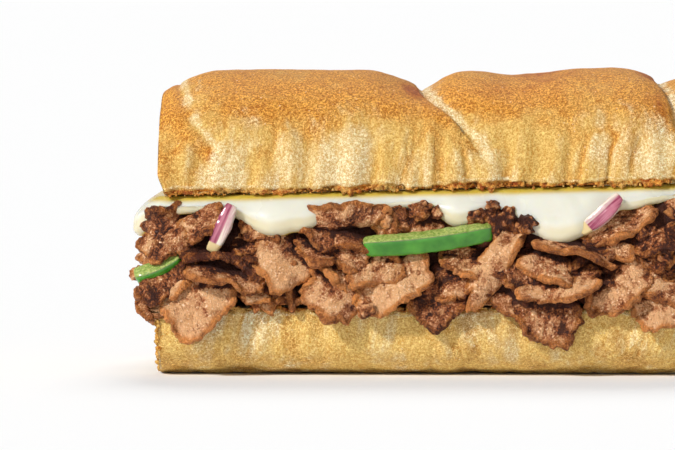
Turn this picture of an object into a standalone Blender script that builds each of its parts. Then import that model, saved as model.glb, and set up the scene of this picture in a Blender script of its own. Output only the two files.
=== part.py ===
"""A hot beef submarine sandwich: the half of a loaf, cut square at one end and baked round at the other.

The upper and lower bun lie along X, with the cut end at -X and the front at -Y. Between them
is a heap of thin beef slices. A sheet of melted cheese lies over the heap and hangs down round
it, and strips of green pepper and red onion lie on the slices. All sizes are in metres, and
the sandwich rests on Z = 0.
"""

import bmesh
import bpy
import numpy as np

MM = 0.001

# Driving sizes of the loaf
LOAF_LENGTH = 0.157
LOAF_WIDTH = 0.077
LOWER_CUT = 0.018  # height of the lower bun's cut face
UPPER_CUT = 0.0468  # height of the upper bun's cut face at the cut end
FILL_SLOPE = 0.025  # how it rises towards the heel, over the growing filling
CREST = 0.080  # height of the highest lobe
CUT_END = -LOAF_LENGTH / 2
HEEL_TIP = LOAF_LENGTH / 2
HEEL_LENGTH = 0.030  # length of the baked round end
HEEL_POWER = 2.5
UPPER_POWER = 2.7  # squareness of the upper bun's section
LOWER_POWER = 4.0
LOWER_SINK = 0.0009  # how far the lower bun's round section is flattened on the board
CUT_RELIEF = 0.0005  # unevenness of the cut faces

# Slashes across the upper bun, measured from the cut end along the crest
SCORES = (  # place, depth, and how far it runs towards the heel on its way down the front
    (0.0030, 0.0010, 0.0185),
    (0.0692, 0.0041, 0.0225),
    (0.1308, 0.0050, 0.0127),
)
SCORE_SKEW = 0.0127  # how far the section leads towards the heel at the front, and back at the rear
SHOULDER = 0.016  # length over which a lobe rounds down to its slash
FLANK = 0.019  # length over which the next lobe rises from it
END_DROOP = 0.0062  # how far the crust is pressed down at the cut end
DROOP_LENGTH = 0.014
WRINKLE_PITCH = 0.0078  # spacing of the upright folds in the buns' sides
WRINKLE_DEPTH = 0.0006
# The lobes' levels along the crest: distance from the cut end and how far the crust lies off CREST
CREST_LINE = (
    (0.000, 0.0),
    (0.012, -0.0008),
    (0.052, -0.0009),
    (0.067, -0.0024),
    (0.078, -0.0002),
    (0.092, -0.0022),
    (0.112, -0.0005),
    (0.126, 0.0),
    (0.157, 0.0),
)

# Driving sizes of the filling
GAP = 0.00035  # clear air between touching pieces
CORE_BULGE = 0.0016  # how far the bare heap bulges past the buns at its middle
COVER_INSET = 0.0045  # from the bun's edge inwards, the slices stay under the cheese
CORE_BELOW = 0.0040  # top of the bare heap, below the upper bun
CHEESE_BELOW = 0.0020  # middle of the cheese where it lies flat, below the upper bun
CHEESE_THICKNESS = 0.0021
CHEESE_INSET = 0.0032  # from the bun's edge inwards to where the bend starts
CHEESE_BEND = 0.0030  # radius of its bend over the edge of the heap
CHEESE_SPLAY = 0.30  # lean of the hanging part away from upright, in radians
CHEESE_OVERHANG = 0.0024  # how far the cheese passes the cut end
SLICE_THICKNESS = 0.0023
SLICE_RUFFLE = 0.0008  # height of the ruffle round a slice's edge
BUN_EDGE = 0.009  # how far in from a bun's edge a slice is turned round it

# Drips of the cheese: distance from the cut end, side (-1 front, 1 rear), half width, length
DRIPS = (
    (0.0340, -1, 0.012, 0.0056),
    (0.0795, -1, 0.006, 0.0034),
    (0.1045, -1, 0.013, 0.0086),
    (0.0200, 1, 0.013, 0.0070),
    (0.0640, 1, 0.010, 0.0050),
    (0.1120, 1, 0.014, 0.0080),
)
CHEESE_HANG = 0.0016  # how far it hangs between the drips
END_HANG = 0.0070  # how far it hangs over the cut end
END_ROUNDING = 0.008  # over that width its rim rises again at the end's corners

# Beef slices at the front, in millimetres and degrees: distance from the cut end, height, how far
# its middle stands out from the bun's face, length, width, roll of its long side, lean of its face
# upwards, and the sag of its ends and of its long sides
FRONT_SLICES = (
    (1.6, 40.4, 0.6, 12, 10, 20, 5, 3.0, -2.0),
    (11.2, 39.0, 0.0, 12, 8, 25, 35, 0.5, 0.5),
    (1.8, 35.2, 2.0, 12, 8, 28, 30, 0.5, 0.8),
    (0.6, 26.0, 3.2, 13, 8, 38, 25, -0.6, 1.5),
    (-1.0, 17.6, -1.6, 11, 6, -30, 20, 0.4, 0.4),
    (11.2, 20.2, 3.8, 20, 15, 33, 14, 0.8, 0.6),
    (5.0, 26.0, 2.4, 11, 8, 50, 30, 0.5, 0.5),
    (19.0, 28.4, 3.4, 22, 12, -14, 50, 1.6, 0.4),
    (16.4, 32.0, 1.4, 19, 10, -4, 72, 0.8, 0.0),
    (24.4, 34.6, 1.5, 9, 8, 10, 30, 0.5, 0.5),
    (27.8, 39.0, 0.5, 12, 8, -25, 40, 0.5, 0.5),
    (33.2, 31.2, 2.8, 16, 15, -42, 22, 0.6, 1.4),
    (24.2, 29.6, 1.0, 14, 10, -25, 70, 0.4, 0.0),
    (48.8, 41.4, 3.6, 21, 6, -2, -25, 0.8, 1.2),
    (46.8, 37.0, 2.0, 17, 9, -6, 48, 0.5, 0.8),
    (42.4, 33.0, 1.4, 14, 9, -25, 62, 0.6, 0.0),
    (50.4, 32.0, 3.0, 9, 9, -10, 15, 0.9, 0.9),
    (70.2, 41.0, 0.8, 14, 11, -8, 20, 1.2, -0.8),
    (85.2, 39.8, 0.8, 9, 9, 25, 20, 0.8, 0.8),
    (96.4, 38.6, 1.8, 8, 8, 70, 20, 0.8, 0.8),
    (49.0, 27.2, 2.2, 14, 8, -35, 28, 0.4, 0.8),
    (46.6, 22.8, 3.4, 17, 14, -28, 12, 1.2, 1.0),
    (61.8, 24.4, 4.0, 20, 12, 28, 22, 0.8, 1.2),
    (72.6, 19.4, 2.4, 13, 11, -42, 6, 0.5, 1.2),
    (76.8, 25.0, 2.4, 9, 10, 10, 20, 1.0, 1.0),
    (87.8, 29.8, 4.6, 25, 7, 56, 12, 1.4, 0.8),
    (81.0, 30.0, 2.6, 13, 8, -15, 40, 0.5, 0.6),
    (57.2, 28.0, 2.6, 14, 9, 8, 34, 0.5, 0.5),
    (110.2, 34.0, 3.0, 25, 9, -20, 60, 1.2, 0.0),
    (93.6, 27.6, 4.2, 12, 9, -20, 22, 0.6, 0.9),
    (101.8, 29.0, 3.8, 15, 8, -22, 42, 0.5, 0.4),
    (105.0, 23.8, 4.0, 20, 10, 4, 46, -1.2, 0.6),
    (101.2, 16.6, 2.6, 18, 13, -38, 0, 0.8, 0.8),
    (118.6, 40.2, 1.8, 20, 9, 20, 42, 0.5, 0.6),
    (117.8, 34.8, 2.4, 13, 6, -14, 30, 0.6, 0.6),
    (120.6, 23.6, 3.6, 17, 10, 42, 18, 1.6, 0.8),
    (128.6, 33.2, 2.0, 12, 10, 60, 20, 0.8, 0.8),
    (131.0, 18.8, 3.0, 15, 11, 20, 14, 0.8, 1.0),
    (133.0, 42.0, 0.6, 14, 9, 0, 20, 0.5, 1.0),
    (60.8, 40.2, 1.6, 9, 7, 25, 20, 0.6, 0.6),
    (92.0, 21.4, 1.6, 12, 8, -30, 20, 0.6, 0.6),
    (25.8, 21.8, 3.2, 8, 4, -5, 30, 0.4, 0.4),
)

# The rest of the heap, laid by rule round the heel, the rear and the cut end
REAR_ROWS = ((0.0215, 13), (0.0300, 11), (0.0380, 8))  # height and number of slices in a row
REAR_SPAN = (0.292, 0.955)  # stretch of the outline that the rows cover, from the front corner
REAR_OUT = (-0.0008, 0.0018)  # smallest and largest, as in the next four
REAR_LENGTH = (0.015, 0.023)
REAR_WIDTH = (0.010, 0.014)
REAR_TURN = ((-32, 32), (12, 52))  # roll and lean in degrees
REAR_SAG = (0.0003, 0.0015)
REAR_SEED = 41

# Green pepper and red onion: name, distance from the cut end, side (-1 front, 1 rear), height,
# stand-out, length, width, thickness, roll, lean, bow, all in millimetres and degrees
TOPPINGS = (
    ("pepper_front", 70.6, -1, 35.6, 4.0, 34, 4.4, 5.0, 7, 62, 1.6),
    ("pepper_end", 0.4, -1, 28.0, 1.0, 13, 4.4, 4.2, 24, 45, 1.0),
    ("onion_left", 17.0, -1, 38.7, 4.4, 13.5, 4.2, 2.4, 66, 12, 0.3),
    ("onion_right", 115.4, -1, 42.3, 4.8, 14, 4.4, 2.6, 42, 20, 0.9),
    ("pepper_rear", 92.0, 1, 34.6, 3.6, 30, 4.2, 3.8, -8, 45, -2.0),
    ("onion_rear", 42.0, 1, 36.6, 3.6, 15, 4.0, 2.4, 50, 20, 1.2),
)
ONION_TAPER = 0.35  # how much narrower an onion strip is at its ends
ONION_CURL = 0.0006  # how far its ends curl back
PEPPER_SEGMENTS = 12
ONION_SEGMENTS = 8

# Mesh fineness
UPPER_STATIONS, UPPER_ARC, UPPER_UNDER = 38, 18, 3
LOWER_STATIONS, LOWER_ARC, LOWER_TOP = 28, 11, 3
HEEL_STATIONS = 7
CORE_STATIONS, CORE_AROUND = 20, 12
CHEESE_AROUND = 68
LARGE_SLICE = (5, 4)
SMALL_SLICE = (4, 3)
LARGE_FROM = 0.0155  # length from which a slice has the finer grid

# Colours: red, green and blue from 0 to 1, then roughness
CRUST = (0.62, 0.33, 0.11), 0.62
PALE_CRUST = (0.66, 0.50, 0.25), 0.68
BEEF = (0.24, 0.09, 0.04), 0.42
CHEESE = (0.83, 0.77, 0.55), 0.30
PEPPER = (0.09, 0.32, 0.05), 0.28
ONION = (0.36, 0.07, 0.17), 0.30


def smooth(value):
    """Eases from 0 to 1."""
    value = np.clip(value, 0, 1)
    return value * value * (3 - 2 * value)


def signed_power(value, power):
    return np.sign(value) * np.abs(value) ** power


def waves(points, size, seed, count=7):
    """Smooth unevenness from about -1 to 1: sine waves of about that size in seeded directions."""
    draw = np.random.default_rng(seed)
    directions = draw.normal(size=(count, 3))
    directions *= 2 * np.pi / size / np.linalg.norm(directions, axis=1, keepdims=True)
    phases = draw.uniform(0, 2 * np.pi, count)
    return np.sin(points @ directions.T + phases).sum(-1) / np.sqrt(count * 2)


def half_width(x):
    """Half the loaf's width at x: even along the body, then rounding to nothing at the heel."""
    share = np.clip((x - HEEL_TIP + HEEL_LENGTH) / HEEL_LENGTH, 0, 1)
    return LOAF_WIDTH / 2 * (1 - share**HEEL_POWER) ** (1 / HEEL_POWER)


def plan_outline(count, rounding=0):
    """The loaf from above: evenly spaced points anticlockwise from the front corner of the cut
    end, and the outward normals. Corners are averaged over that many neighbours each way."""
    body = np.linspace(CUT_END, HEEL_TIP - HEEL_LENGTH, 60)
    heel = HEEL_TIP - HEEL_LENGTH + HEEL_LENGTH * np.sin(np.linspace(0, np.pi / 2, 40)[1:])
    x = np.concatenate([body, heel])
    front = np.stack([x, -half_width(x)], 1)
    loop = np.concatenate([front, front[-2::-1] * (1, -1), front[:1]])
    run = np.concatenate([[0], np.cumsum(np.linalg.norm(np.diff(loop, axis=0), axis=1))])
    stops = np.linspace(0, run[-1], count, endpoint=False)
    points = np.stack([np.interp(stops, run, loop[:, axis]) for axis in (0, 1)], 1)
    if rounding:
        turned = [np.roll(points, step, axis=0) for step in range(-rounding, rounding + 1)]
        points = np.mean(turned, axis=0)
    tangents = np.roll(points, -1, axis=0) - np.roll(points, 1, axis=0)
    tangents /= np.linalg.norm(tangents, axis=1, keepdims=True)
    return points, np.stack([tangents[:, 1], -tangents[:, 0]], 1)


def beyond_outline(xy, outline):
    """Distance of each point outside the outline, negative inside, and the outward direction."""
    points, normals = outline
    nearest = ((xy[:, None] - points[None]) ** 2).sum(-1).argmin(1)
    outward = normals[nearest]
    return ((xy - points[nearest]) * outward).sum(-1), outward


def upper_cut(x):
    """Height of the upper bun's cut face at x."""
    return UPPER_CUT + FILL_SLOPE * (x - CUT_END)


def crest_offset(x):
    """How far the lobes lie off the even crest at x, eased between the places of CREST_LINE."""
    places, levels = np.transpose(CREST_LINE)
    spot = np.interp(x - CUT_END, places, np.arange(len(places)))
    before = np.minimum(spot.astype(int), len(places) - 2)
    return levels[before] + (levels[before + 1] - levels[before]) * smooth(spot - before)


def stations(count):
    """Places along X for the loaf's rings, closer together round the heel."""
    body = np.linspace(CUT_END, HEEL_TIP - HEEL_LENGTH, count - HEEL_STATIONS)
    turn = np.linspace(0, np.pi / 2, HEEL_STATIONS + 2)[1:-1]
    return np.concatenate([body, HEEL_TIP - HEEL_LENGTH + HEEL_LENGTH * np.sin(turn)])


def shear(x, lead):
    """Moves a ring towards the heel at the front and back at the rear, along the slashes. It
    fades out towards both ends, so that the cut end stays square."""
    room = np.minimum((x - CUT_END) * 0.8, (HEEL_TIP - x) * 0.55)
    return np.minimum(SCORE_SKEW, np.maximum(room, 0)) * lead


def slash_lead(lead, height):
    """How far a slash has run towards the heel, from 0 at the crest to 1 at the front edge."""
    return np.sign(lead) * (1 - height)


def score_drop(x, lead, height):
    """How far the crust lies below the lobes. Towards the heel a lobe rounds down steeply to its
    slash, and the next one rises again more slowly. The slash runs out low on the sides."""
    drop = np.zeros_like(x)
    for place, depth, run in SCORES:
        past = x - (CUT_END + place + run * slash_lead(lead, height))
        before = np.clip(1 + past / SHOULDER, 0, 1)
        after = np.clip(1 - past / FLANK, 0, 1)
        shape = np.where(past < 0, 1 - np.sqrt(1 - before**2), after**1.9)
        drop = np.maximum(drop, shape * depth)
    droop = END_DROOP * np.clip(1 - (x - CUT_END) / DROOP_LENGTH, 0, 1) ** 1.8
    return (drop + droop) * smooth((height - 0.12) / 0.5)


def wrinkles(x, height, seed):
    """Upright folds in the sides of the bun, in metres outwards."""
    wander = 1.6 * np.sin(x / 0.013 + seed) + 0.8 * np.sin(x / 0.0051 + 2 * seed + height)
    fold = np.sin(2 * np.pi * x / WRINKLE_PITCH + wander)
    return WRINKLE_DEPTH * fold * smooth((0.75 - height) / 0.5)


def upper_bun(grow=0.0):
    """Rings of the upper bun: a domed crust from the front edge over the crest to the rear edge,
    then the cut face back to the front. grow makes it larger all round, for clearances."""
    x0 = stations(UPPER_STATIONS)[:, None]
    arc = np.linspace(0, np.pi, UPPER_ARC)[None]
    lead = np.cos(arc)
    x = x0 + shear(x0, lead)
    width = half_width(x)
    share = width / (LOAF_WIDTH / 2)
    height = np.sin(arc) ** (2 / UPPER_POWER) * np.ones_like(x)
    drop = score_drop(x, lead, height)
    cut = upper_cut(x)
    rise = (CREST - cut) * share**0.8
    scale = 1 - drop / (CREST - cut)
    side = -signed_power(lead, 2 / UPPER_POWER)
    y = side * (width * (1 - 0.4 * (1 - scale)) + wrinkles(x, height, 1.0) * share)
    z = cut + rise * height * scale
    points = np.stack([x, y, z], -1)
    points[..., 2] += crest_offset(x) * height * share
    for edge in (0, -1):
        points[:, edge, 2] = cut[:, edge]
    across = np.linspace(1, -1, UPPER_UNDER + 2)[None, 1:-1]
    under_x = x0 + shear(x0, -across)
    under = np.stack([under_x, across * half_width(under_x), upper_cut(under_x)], -1)
    under[..., 2] += waves(under, 0.012, 5) * CUT_RELIEF
    rings = np.concatenate([points, under], 1)
    centre = np.array([0.0, 0.0, (upper_cut(HEEL_TIP) + CREST) / 2])
    return grown(rings, centre, grow), np.array([HEEL_TIP + grow, 0, upper_cut(HEEL_TIP)])


def lower_bun(grow=0.0):
    """Rings of the lower bun: from the front edge down round the flat foot to the rear edge, then
    the cut face back to the front."""
    x0 = stations(LOWER_STATIONS)[:, None]
    arc = np.linspace(0, np.pi, LOWER_ARC)[None]
    x = x0 + 0 * arc
    width = half_width(x)
    share = width / (LOAF_WIDTH / 2)
    depth = np.sin(arc) ** (2 / LOWER_POWER) * np.ones_like(x)
    side = -signed_power(np.cos(arc), 2 / LOWER_POWER)
    y = side * (width + wrinkles(x, depth, 4.0) * share)
    z = np.maximum(LOWER_CUT - (LOWER_CUT + LOWER_SINK) * share**0.7 * depth, 0)
    points = np.stack([x, y, z], -1)
    across = np.linspace(1, -1, LOWER_TOP + 2)[None, 1:-1]
    top = np.stack([x0 + 0 * across, across * half_width(x0), LOWER_CUT + 0 * (x0 + across)], -1)
    top[..., 2] += waves(top, 0.012, 8) * CUT_RELIEF
    rings = np.concatenate([points, top], 1)
    centre = np.array([0.0, 0.0, LOWER_CUT / 2])
    return grown(rings, centre, grow), np.array([HEEL_TIP + grow, 0, LOWER_CUT])


def grown(rings, centre, grow):
    """Moves every point of the rings away from the middle of the loaf by grow along each axis."""
    return rings + grow * np.sign(np.round(rings - centre, 6)) if grow else rings


def ring_faces(rings, around):
    """Quads between neighbouring closed rings of points."""
    ring, step = np.meshgrid(np.arange(rings - 1), np.arange(around), indexing="ij")
    after = (step + 1) % around
    quads = [ring * around + step, (ring + 1) * around + step,
             (ring + 1) * around + after, ring * around + after]
    return np.stack(quads, -1).reshape(-1, 4).tolist()


def closed_rings(rings, pole):
    """A solid from rings of points: flat at the first ring, drawn to the pole past the last."""
    count, around = rings.shape[:2]
    points = np.concatenate([rings.reshape(-1, 3), pole[None]])
    last = (count - 1) * around
    faces = ring_faces(count, around)
    faces.append(list(range(around)))
    faces += [[last + i, last + (i + 1) % around, len(points) - 1] for i in range(around)]
    return points, faces


def core():
    """The bare heap under the slices: a rounded bar with an uneven surface."""
    along = stations(CORE_STATIONS)[:, None]
    arc = np.linspace(0, 2 * np.pi, CORE_AROUND, endpoint=False)[None]
    x = along * (1 + CORE_BULGE / HEEL_TIP) + 0 * arc
    reach = half_width(along) + CORE_BULGE
    low, high = LOWER_CUT + CUT_RELIEF + GAP, upper_cut(along) - CORE_BELOW
    middle, rise = (low + high) / 2, (high - low) / 2
    level = signed_power(np.sin(arc), 0.5)
    y = reach * signed_power(np.cos(arc), 0.5)
    z = middle + rise * level * (reach / reach.max()) ** 0.25
    points = np.stack([x, y, z], -1)
    points[..., 1] *= 1 + 0.03 * waves(points, 0.016, 11)
    return closed_rings(points, np.array([HEEL_TIP + CORE_BULGE, 0, middle[-1, 0]]))


def cheese_hang(points):
    """How far the cheese hangs at each point of its outline, from its bend to its rim."""
    from_end = points[:, 0] - CUT_END
    hang = CHEESE_HANG + 0.0008 * waves(np.c_[points, points[:, 0]], 0.02, 21)
    inside = LOAF_WIDTH / 2 - CHEESE_INSET - np.abs(points[:, 1])
    hang += (END_HANG - CHEESE_HANG) * smooth((0.012 - from_end) / 0.012) * smooth(inside / END_ROUNDING)
    for place, side, half, length in DRIPS:
        away = (from_end - place) / half
        hang += length * np.exp(-(np.abs(away) ** 2.4)) * (np.sign(points[:, 1]) == side)
    return hang


def cheese(grow=0.0):
    """Melted cheese: a sheet with a middle surface that is flat inside its outline, bends round the
    edge of the heap and hangs down, splayed outwards, for the length given by its drips. Its
    thickness goes to nothing at the rim."""
    points, normals = plan_outline(CHEESE_AROUND, rounding=2)
    points = points - normals * CHEESE_INSET
    near_end = smooth((CUT_END + 0.022 - points[:, 0]) / 0.018)
    points[:, 0] -= near_end * CHEESE_OVERHANG
    hang = cheese_hang(points) + grow
    bend = CHEESE_BEND * (np.pi / 2 - CHEESE_SPLAY)
    loops = []
    for side in (1, -1):
        for share, thick in ((-1.0, 1), (0.0, 1), (0.5, 1), (1.0, 1), (1.45, 1.05), (1.85, 0.75)):
            run = bend * min(max(share, 0), 1) + max(share - 1, 0) * hang
            loops.append((run, side * thick, max(-share, 0)))
        if side == 1:
            loops.append((bend + hang, 0, 0))
    order = loops[:7] + loops[:6:-1]
    rings = []
    for run, side, inner in order:
        angle = np.minimum(run / CHEESE_BEND, np.pi / 2 - CHEESE_SPLAY)
        rest = np.maximum(run - bend, 0)
        out = CHEESE_BEND * np.sin(angle) + rest * np.sin(CHEESE_SPLAY)
        down = CHEESE_BEND * (1 - np.cos(angle)) + rest * np.cos(CHEESE_SPLAY)
        half = side * (CHEESE_THICKNESS / 2 + grow)
        out = out + half * np.sin(angle)
        up = half * np.cos(angle) - down
        place = points * (1 - 0.45 * inner * np.array([0.5, 1])) + normals * out[:, None]
        rings.append(np.c_[place, upper_cut(place[:, 0]) - CHEESE_BELOW + up])
    rings = np.array(rings)
    count, around = rings.shape[:2]
    faces = ring_faces(count, around)
    last = (count - 1) * around
    faces += [list(range(around)), list(range(last, last + around))]
    return rings.reshape(-1, 3), faces


def slice_outline(angle, seed):
    """Uneven edge of a slice: its reach in each direction, about 1."""
    draw = np.random.default_rng(seed)
    reach = np.ones_like(angle)
    for turns, depth in ((2, 0.10), (3, 0.09), (4, 0.06), (5, 0.05)):
        reach += depth * draw.uniform(0.4, 1) * np.sin(turns * angle + draw.uniform(0, 2 * np.pi))
    return reach


def slice_surface(size, sag, seed, cells):
    """Middle surface of a beef slice, lying in its own X and Y: a square grid pressed into a
    rounded, uneven outline, bent by its sags and by a ruffle that grows towards the edge."""
    u, v = np.meshgrid(*(np.linspace(-1, 1, n + 1) for n in cells), indexing="ij")
    a, b = u * np.sqrt(1 - 0.36 * v * v), v * np.sqrt(1 - 0.36 * u * u)
    angle, radius = np.arctan2(b, a), np.hypot(a, b)
    reach = slice_outline(angle, seed)
    a, b = a * reach, b * reach
    phase = np.random.default_rng(seed + 500).uniform(0, 2 * np.pi)
    ruffle = SLICE_RUFFLE * np.sin(3 * angle + phase) * radius**2
    height = ruffle - sag[0] * a * a - sag[1] * b * b
    return np.stack([a * size[0] / 2, b * size[1] / 2, height], -1)


def laid(surface, centre, outward, roll, lean):
    """Turns a surface from its own X, Y and Z to the heap: Y upright and Z along outward, rolled in
    its own plane, then leant back so that it faces upwards."""
    along = np.array([-outward[1], outward[0], 0.0])
    out = np.array([outward[0], outward[1], 0.0])
    up = np.array([0.0, 0.0, 1.0])
    first = np.cos(roll) * along + np.sin(roll) * up
    rising = -np.sin(roll) * along + np.cos(roll) * up
    second = np.cos(lean) * rising - np.sin(lean) * out
    facing = np.cos(lean) * out + np.sin(lean) * rising
    return centre + surface @ np.stack([first, second, facing])


def clear_of_bun(points, cut, free_side, clearance, outline):
    """Pushes points out of a bun: away from its cut face, out past its side, or round its edge,
    along lines that start from a point within the bun near its edge."""
    inner = BUN_EDGE
    beyond, outward = beyond_outline(points[:, :2], outline)
    level = (points[:, 2] - cut) * free_side
    across, rise = beyond + inner, level + inner
    reach = np.hypot(across, rise)
    angle = np.arctan2(rise, across)
    limit = (clearance + inner) / np.maximum(np.cos(angle), np.sin(angle)).clip(0.5)
    share = np.where(reach < limit, limit / np.maximum(reach, 1e-6), 1)
    edge = (across > 0) & (rise > 0)
    new_across = np.where(edge, across * share, across)
    new_rise = np.where(edge, rise * share, rise)
    new_rise = np.where(~edge & (across <= 0), np.maximum(rise, inner + clearance), new_rise)
    new_across = np.where(~edge & (rise <= 0), np.maximum(across, inner + clearance), new_across)
    moved = points.copy()
    moved[:, :2] += outward * (new_across - across)[:, None]
    moved[:, 2] = cut + (new_rise - inner) * free_side
    return moved


def thickened(middle, thickness):
    """A closed solid from a middle surface: both faces stand off it, and meet along its edge."""
    du = np.gradient(middle, axis=0)
    dv = np.gradient(middle, axis=1)
    normal = np.cross(du, dv)
    normal /= np.linalg.norm(normal, axis=-1, keepdims=True)
    columns, rows = middle.shape[:2]
    inside = np.zeros((columns, rows, 1))
    inside[1:-1, 1:-1] = thickness / 2
    top, bottom = middle + normal * inside, middle - normal * inside
    index = np.arange(columns * rows).reshape(columns, rows)
    rim = inside[..., 0] == 0
    below = np.where(rim, index, -1)
    below[~rim] = columns * rows + np.arange((~rim).sum())
    corners = [index[:-1, :-1], index[1:, :-1], index[1:, 1:], index[:-1, 1:]]
    under = [below[:-1, :-1], below[:-1, 1:], below[1:, 1:], below[1:, :-1]]
    faces = [np.stack(c, -1).reshape(-1, 4) for c in (corners, under)]
    points = np.concatenate([top.reshape(-1, 3), bottom[~rim]])
    return points, np.concatenate(faces).tolist()


def beef_slice(centre, outward, size, roll, lean, sag, seed, outline, cells):
    """One slice laid on the heap, clear of both buns and below the cheese."""
    middle = laid(slice_surface(size, sag, seed, cells), centre, outward, roll, lean)
    flat = middle.reshape(-1, 3)
    clearance = SLICE_THICKNESS / 2 + 2 * GAP
    flat = clear_of_bun(flat, LOWER_CUT, 1, clearance, outline)
    flat = clear_of_bun(flat, upper_cut(flat[:, 0]), -1, clearance, outline)
    beyond, _ = beyond_outline(flat[:, :2], outline)
    covered = smooth((-COVER_INSET / 2 - beyond) / COVER_INSET)
    ceiling = upper_cut(flat[:, 0]) - covered * CORE_BELOW - SLICE_THICKNESS / 2
    flat[:, 2] = np.minimum(flat[:, 2], ceiling)
    return thickened(flat.reshape(middle.shape), SLICE_THICKNESS)


def heap_slices():
    """Every slice that shows: the front ones in their places, then the rows round the rest."""
    outline = plan_outline(360)
    front = np.array([0.0, -1.0])
    for seed, row in enumerate(FRONT_SLICES):
        from_end, height, out, length, width = (value * MM for value in row[:5])
        roll, lean = np.radians(row[5:7])
        x = CUT_END + from_end
        y = -half_width(np.maximum(x, CUT_END)) - out
        centre = np.array([x, y, height])
        sag = row[7] * MM, row[8] * MM
        cells = LARGE_SLICE if length > LARGE_FROM else SMALL_SLICE
        yield beef_slice(centre, front, (length, width), roll, lean, sag, seed, outline, cells)
    draw = np.random.default_rng(REAR_SEED)
    points, normals = outline
    for level, (height, count) in enumerate(REAR_ROWS):
        for number in range(count):
            share = (number + 0.5 + 0.25 * draw.uniform(-1, 1)) / count
            spot = int(len(points) * np.interp(share, (0, 1), REAR_SPAN))
            outward = normals[spot]
            out = draw.uniform(*REAR_OUT)
            centre = np.append(points[spot] + outward * out, height + draw.uniform(-2, 2) * MM)
            size = draw.uniform(*REAR_LENGTH), draw.uniform(*REAR_WIDTH)
            roll, lean = (np.radians(draw.uniform(*turn)) for turn in REAR_TURN)
            sag = draw.uniform(*REAR_SAG, 2)
            seed = 100 + level * 30 + number
            yield beef_slice(centre, outward, size, roll, lean, sag, seed, outline, SMALL_SLICE)


def strip(length, width, thickness, bow, segments, onion):
    """A cut vegetable strip, lying in its own X and Y: a rounded four-sided section carried along a
    bowed line. Onion strips taper towards their ends."""
    along = np.linspace(-1, 1, segments + 1)[:, None]
    arc = np.linspace(0, 2 * np.pi, 8, endpoint=False)[None] + np.pi / 8
    taper = 1 - onion * ONION_TAPER * along**2
    x = along * length / 2 + 0 * arc
    y = signed_power(np.cos(arc), 0.6) * width / 2 * taper + bow * (along**2 - 0.33)
    z = signed_power(np.sin(arc), 0.6) * thickness / 2 * taper - onion * ONION_CURL * along**2
    rings = np.stack([x, y, z], -1)
    faces = ring_faces(segments + 1, 8)
    last = segments * 8
    faces += [list(range(8)), list(range(last, last + 8))]
    return rings, faces


def topping(row, grow=0.0):
    """One pepper or onion strip in its place on the heap."""
    name, from_end, side, height, out, length, width, thickness, roll, lean, bow = row
    onion = name.startswith("onion")
    segments = ONION_SEGMENTS if onion else PEPPER_SEGMENTS
    size = [value * MM + 2 * grow for value in (length, width, thickness)]
    rings, faces = strip(*size, bow * MM, segments, onion)
    x = CUT_END + from_end * MM
    y = side * (half_width(np.maximum(x, CUT_END)) + out * MM)
    centre = np.array([x, y, height * MM])
    outward = np.array([0.0, float(side)])
    placed = laid(rings, centre, outward, np.radians(roll), np.radians(lean))
    return placed.reshape(-1, 3), faces


def material(name, colour, roughness):
    made = bpy.data.materials.new(name)
    made.use_nodes = True
    shader = made.node_tree.nodes["Principled BSDF"]
    shader.inputs["Base Color"].default_value = (*colour, 1)
    shader.inputs["Roughness"].default_value = roughness
    made.diffuse_color = (*colour, 1)
    return made


def new_object(name, shape, look=None, collection=None):
    """A mesh object from points and faces, with its faces turned outwards."""
    points, faces = shape
    mesh = bpy.data.meshes.new(name)
    mesh.from_pydata(np.asarray(points).tolist(), [], faces)
    tidy(mesh)
    made = bpy.data.objects.new(name, mesh)
    (collection or bpy.context.scene.collection).objects.link(made)
    if look:
        mesh.materials.append(look)
    return made


def tidy(mesh):
    """Triangulates a mesh and turns its faces outwards."""
    work = bmesh.new()
    work.from_mesh(mesh)
    bmesh.ops.triangulate(work, faces=work.faces)
    bmesh.ops.recalc_face_normals(work, faces=work.faces)
    work.to_mesh(mesh)
    work.free()


def largest_body(mesh):
    """Deletes loose scraps, keeping the body with the most faces."""
    work = bmesh.new()
    work.from_mesh(mesh)
    left, bodies = set(work.verts), []
    while left:
        found, edge = set(), {left.pop()}
        while edge:
            found |= edge
            edge = {e.other_vert(v) for v in edge for e in v.link_edges} - found
        bodies.append(found)
        left -= found
    bodies.sort(key=len, reverse=True)
    scraps = [v for body in bodies[1:] for v in body]
    bmesh.ops.delete(work, geom=scraps, context="VERTS")
    work.to_mesh(mesh)
    work.free()


def combined(body, shapes, operation):
    """Joins shapes to body, or cuts them from it, with one Boolean that is applied."""
    helpers = bpy.data.collections.new("helpers")
    bpy.context.scene.collection.children.link(helpers)
    for number, shape in enumerate(shapes):
        new_object(f"helper_{number}", shape, collection=helpers)
    boolean = body.modifiers.new(operation.lower(), "BOOLEAN")
    boolean.operation = operation
    boolean.operand_type = "COLLECTION"
    boolean.collection = helpers
    boolean.solver = "MANIFOLD"
    bpy.context.view_layer.update()
    graph = bpy.context.evaluated_depsgraph_get()
    mesh = bpy.data.meshes.new_from_object(body.evaluated_get(graph))
    body.modifiers.clear()
    body.data = mesh
    for helper in list(helpers.objects):
        bpy.data.objects.remove(helper)
    bpy.data.collections.remove(helpers)


def beef_heap(look):
    """The heap as one solid: the core with its slices fused on, cut clear of what lies on it."""
    heap = new_object("beef", core(), look)
    combined(heap, heap_slices(), "UNION")
    neighbours = [closed_rings(*upper_bun(GAP)), closed_rings(*lower_bun(GAP)), cheese(GAP)]
    neighbours += [topping(row, GAP) for row in TOPPINGS]
    combined(heap, neighbours, "DIFFERENCE")
    tidy(heap.data)
    largest_body(heap.data)
    return heap


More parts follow.
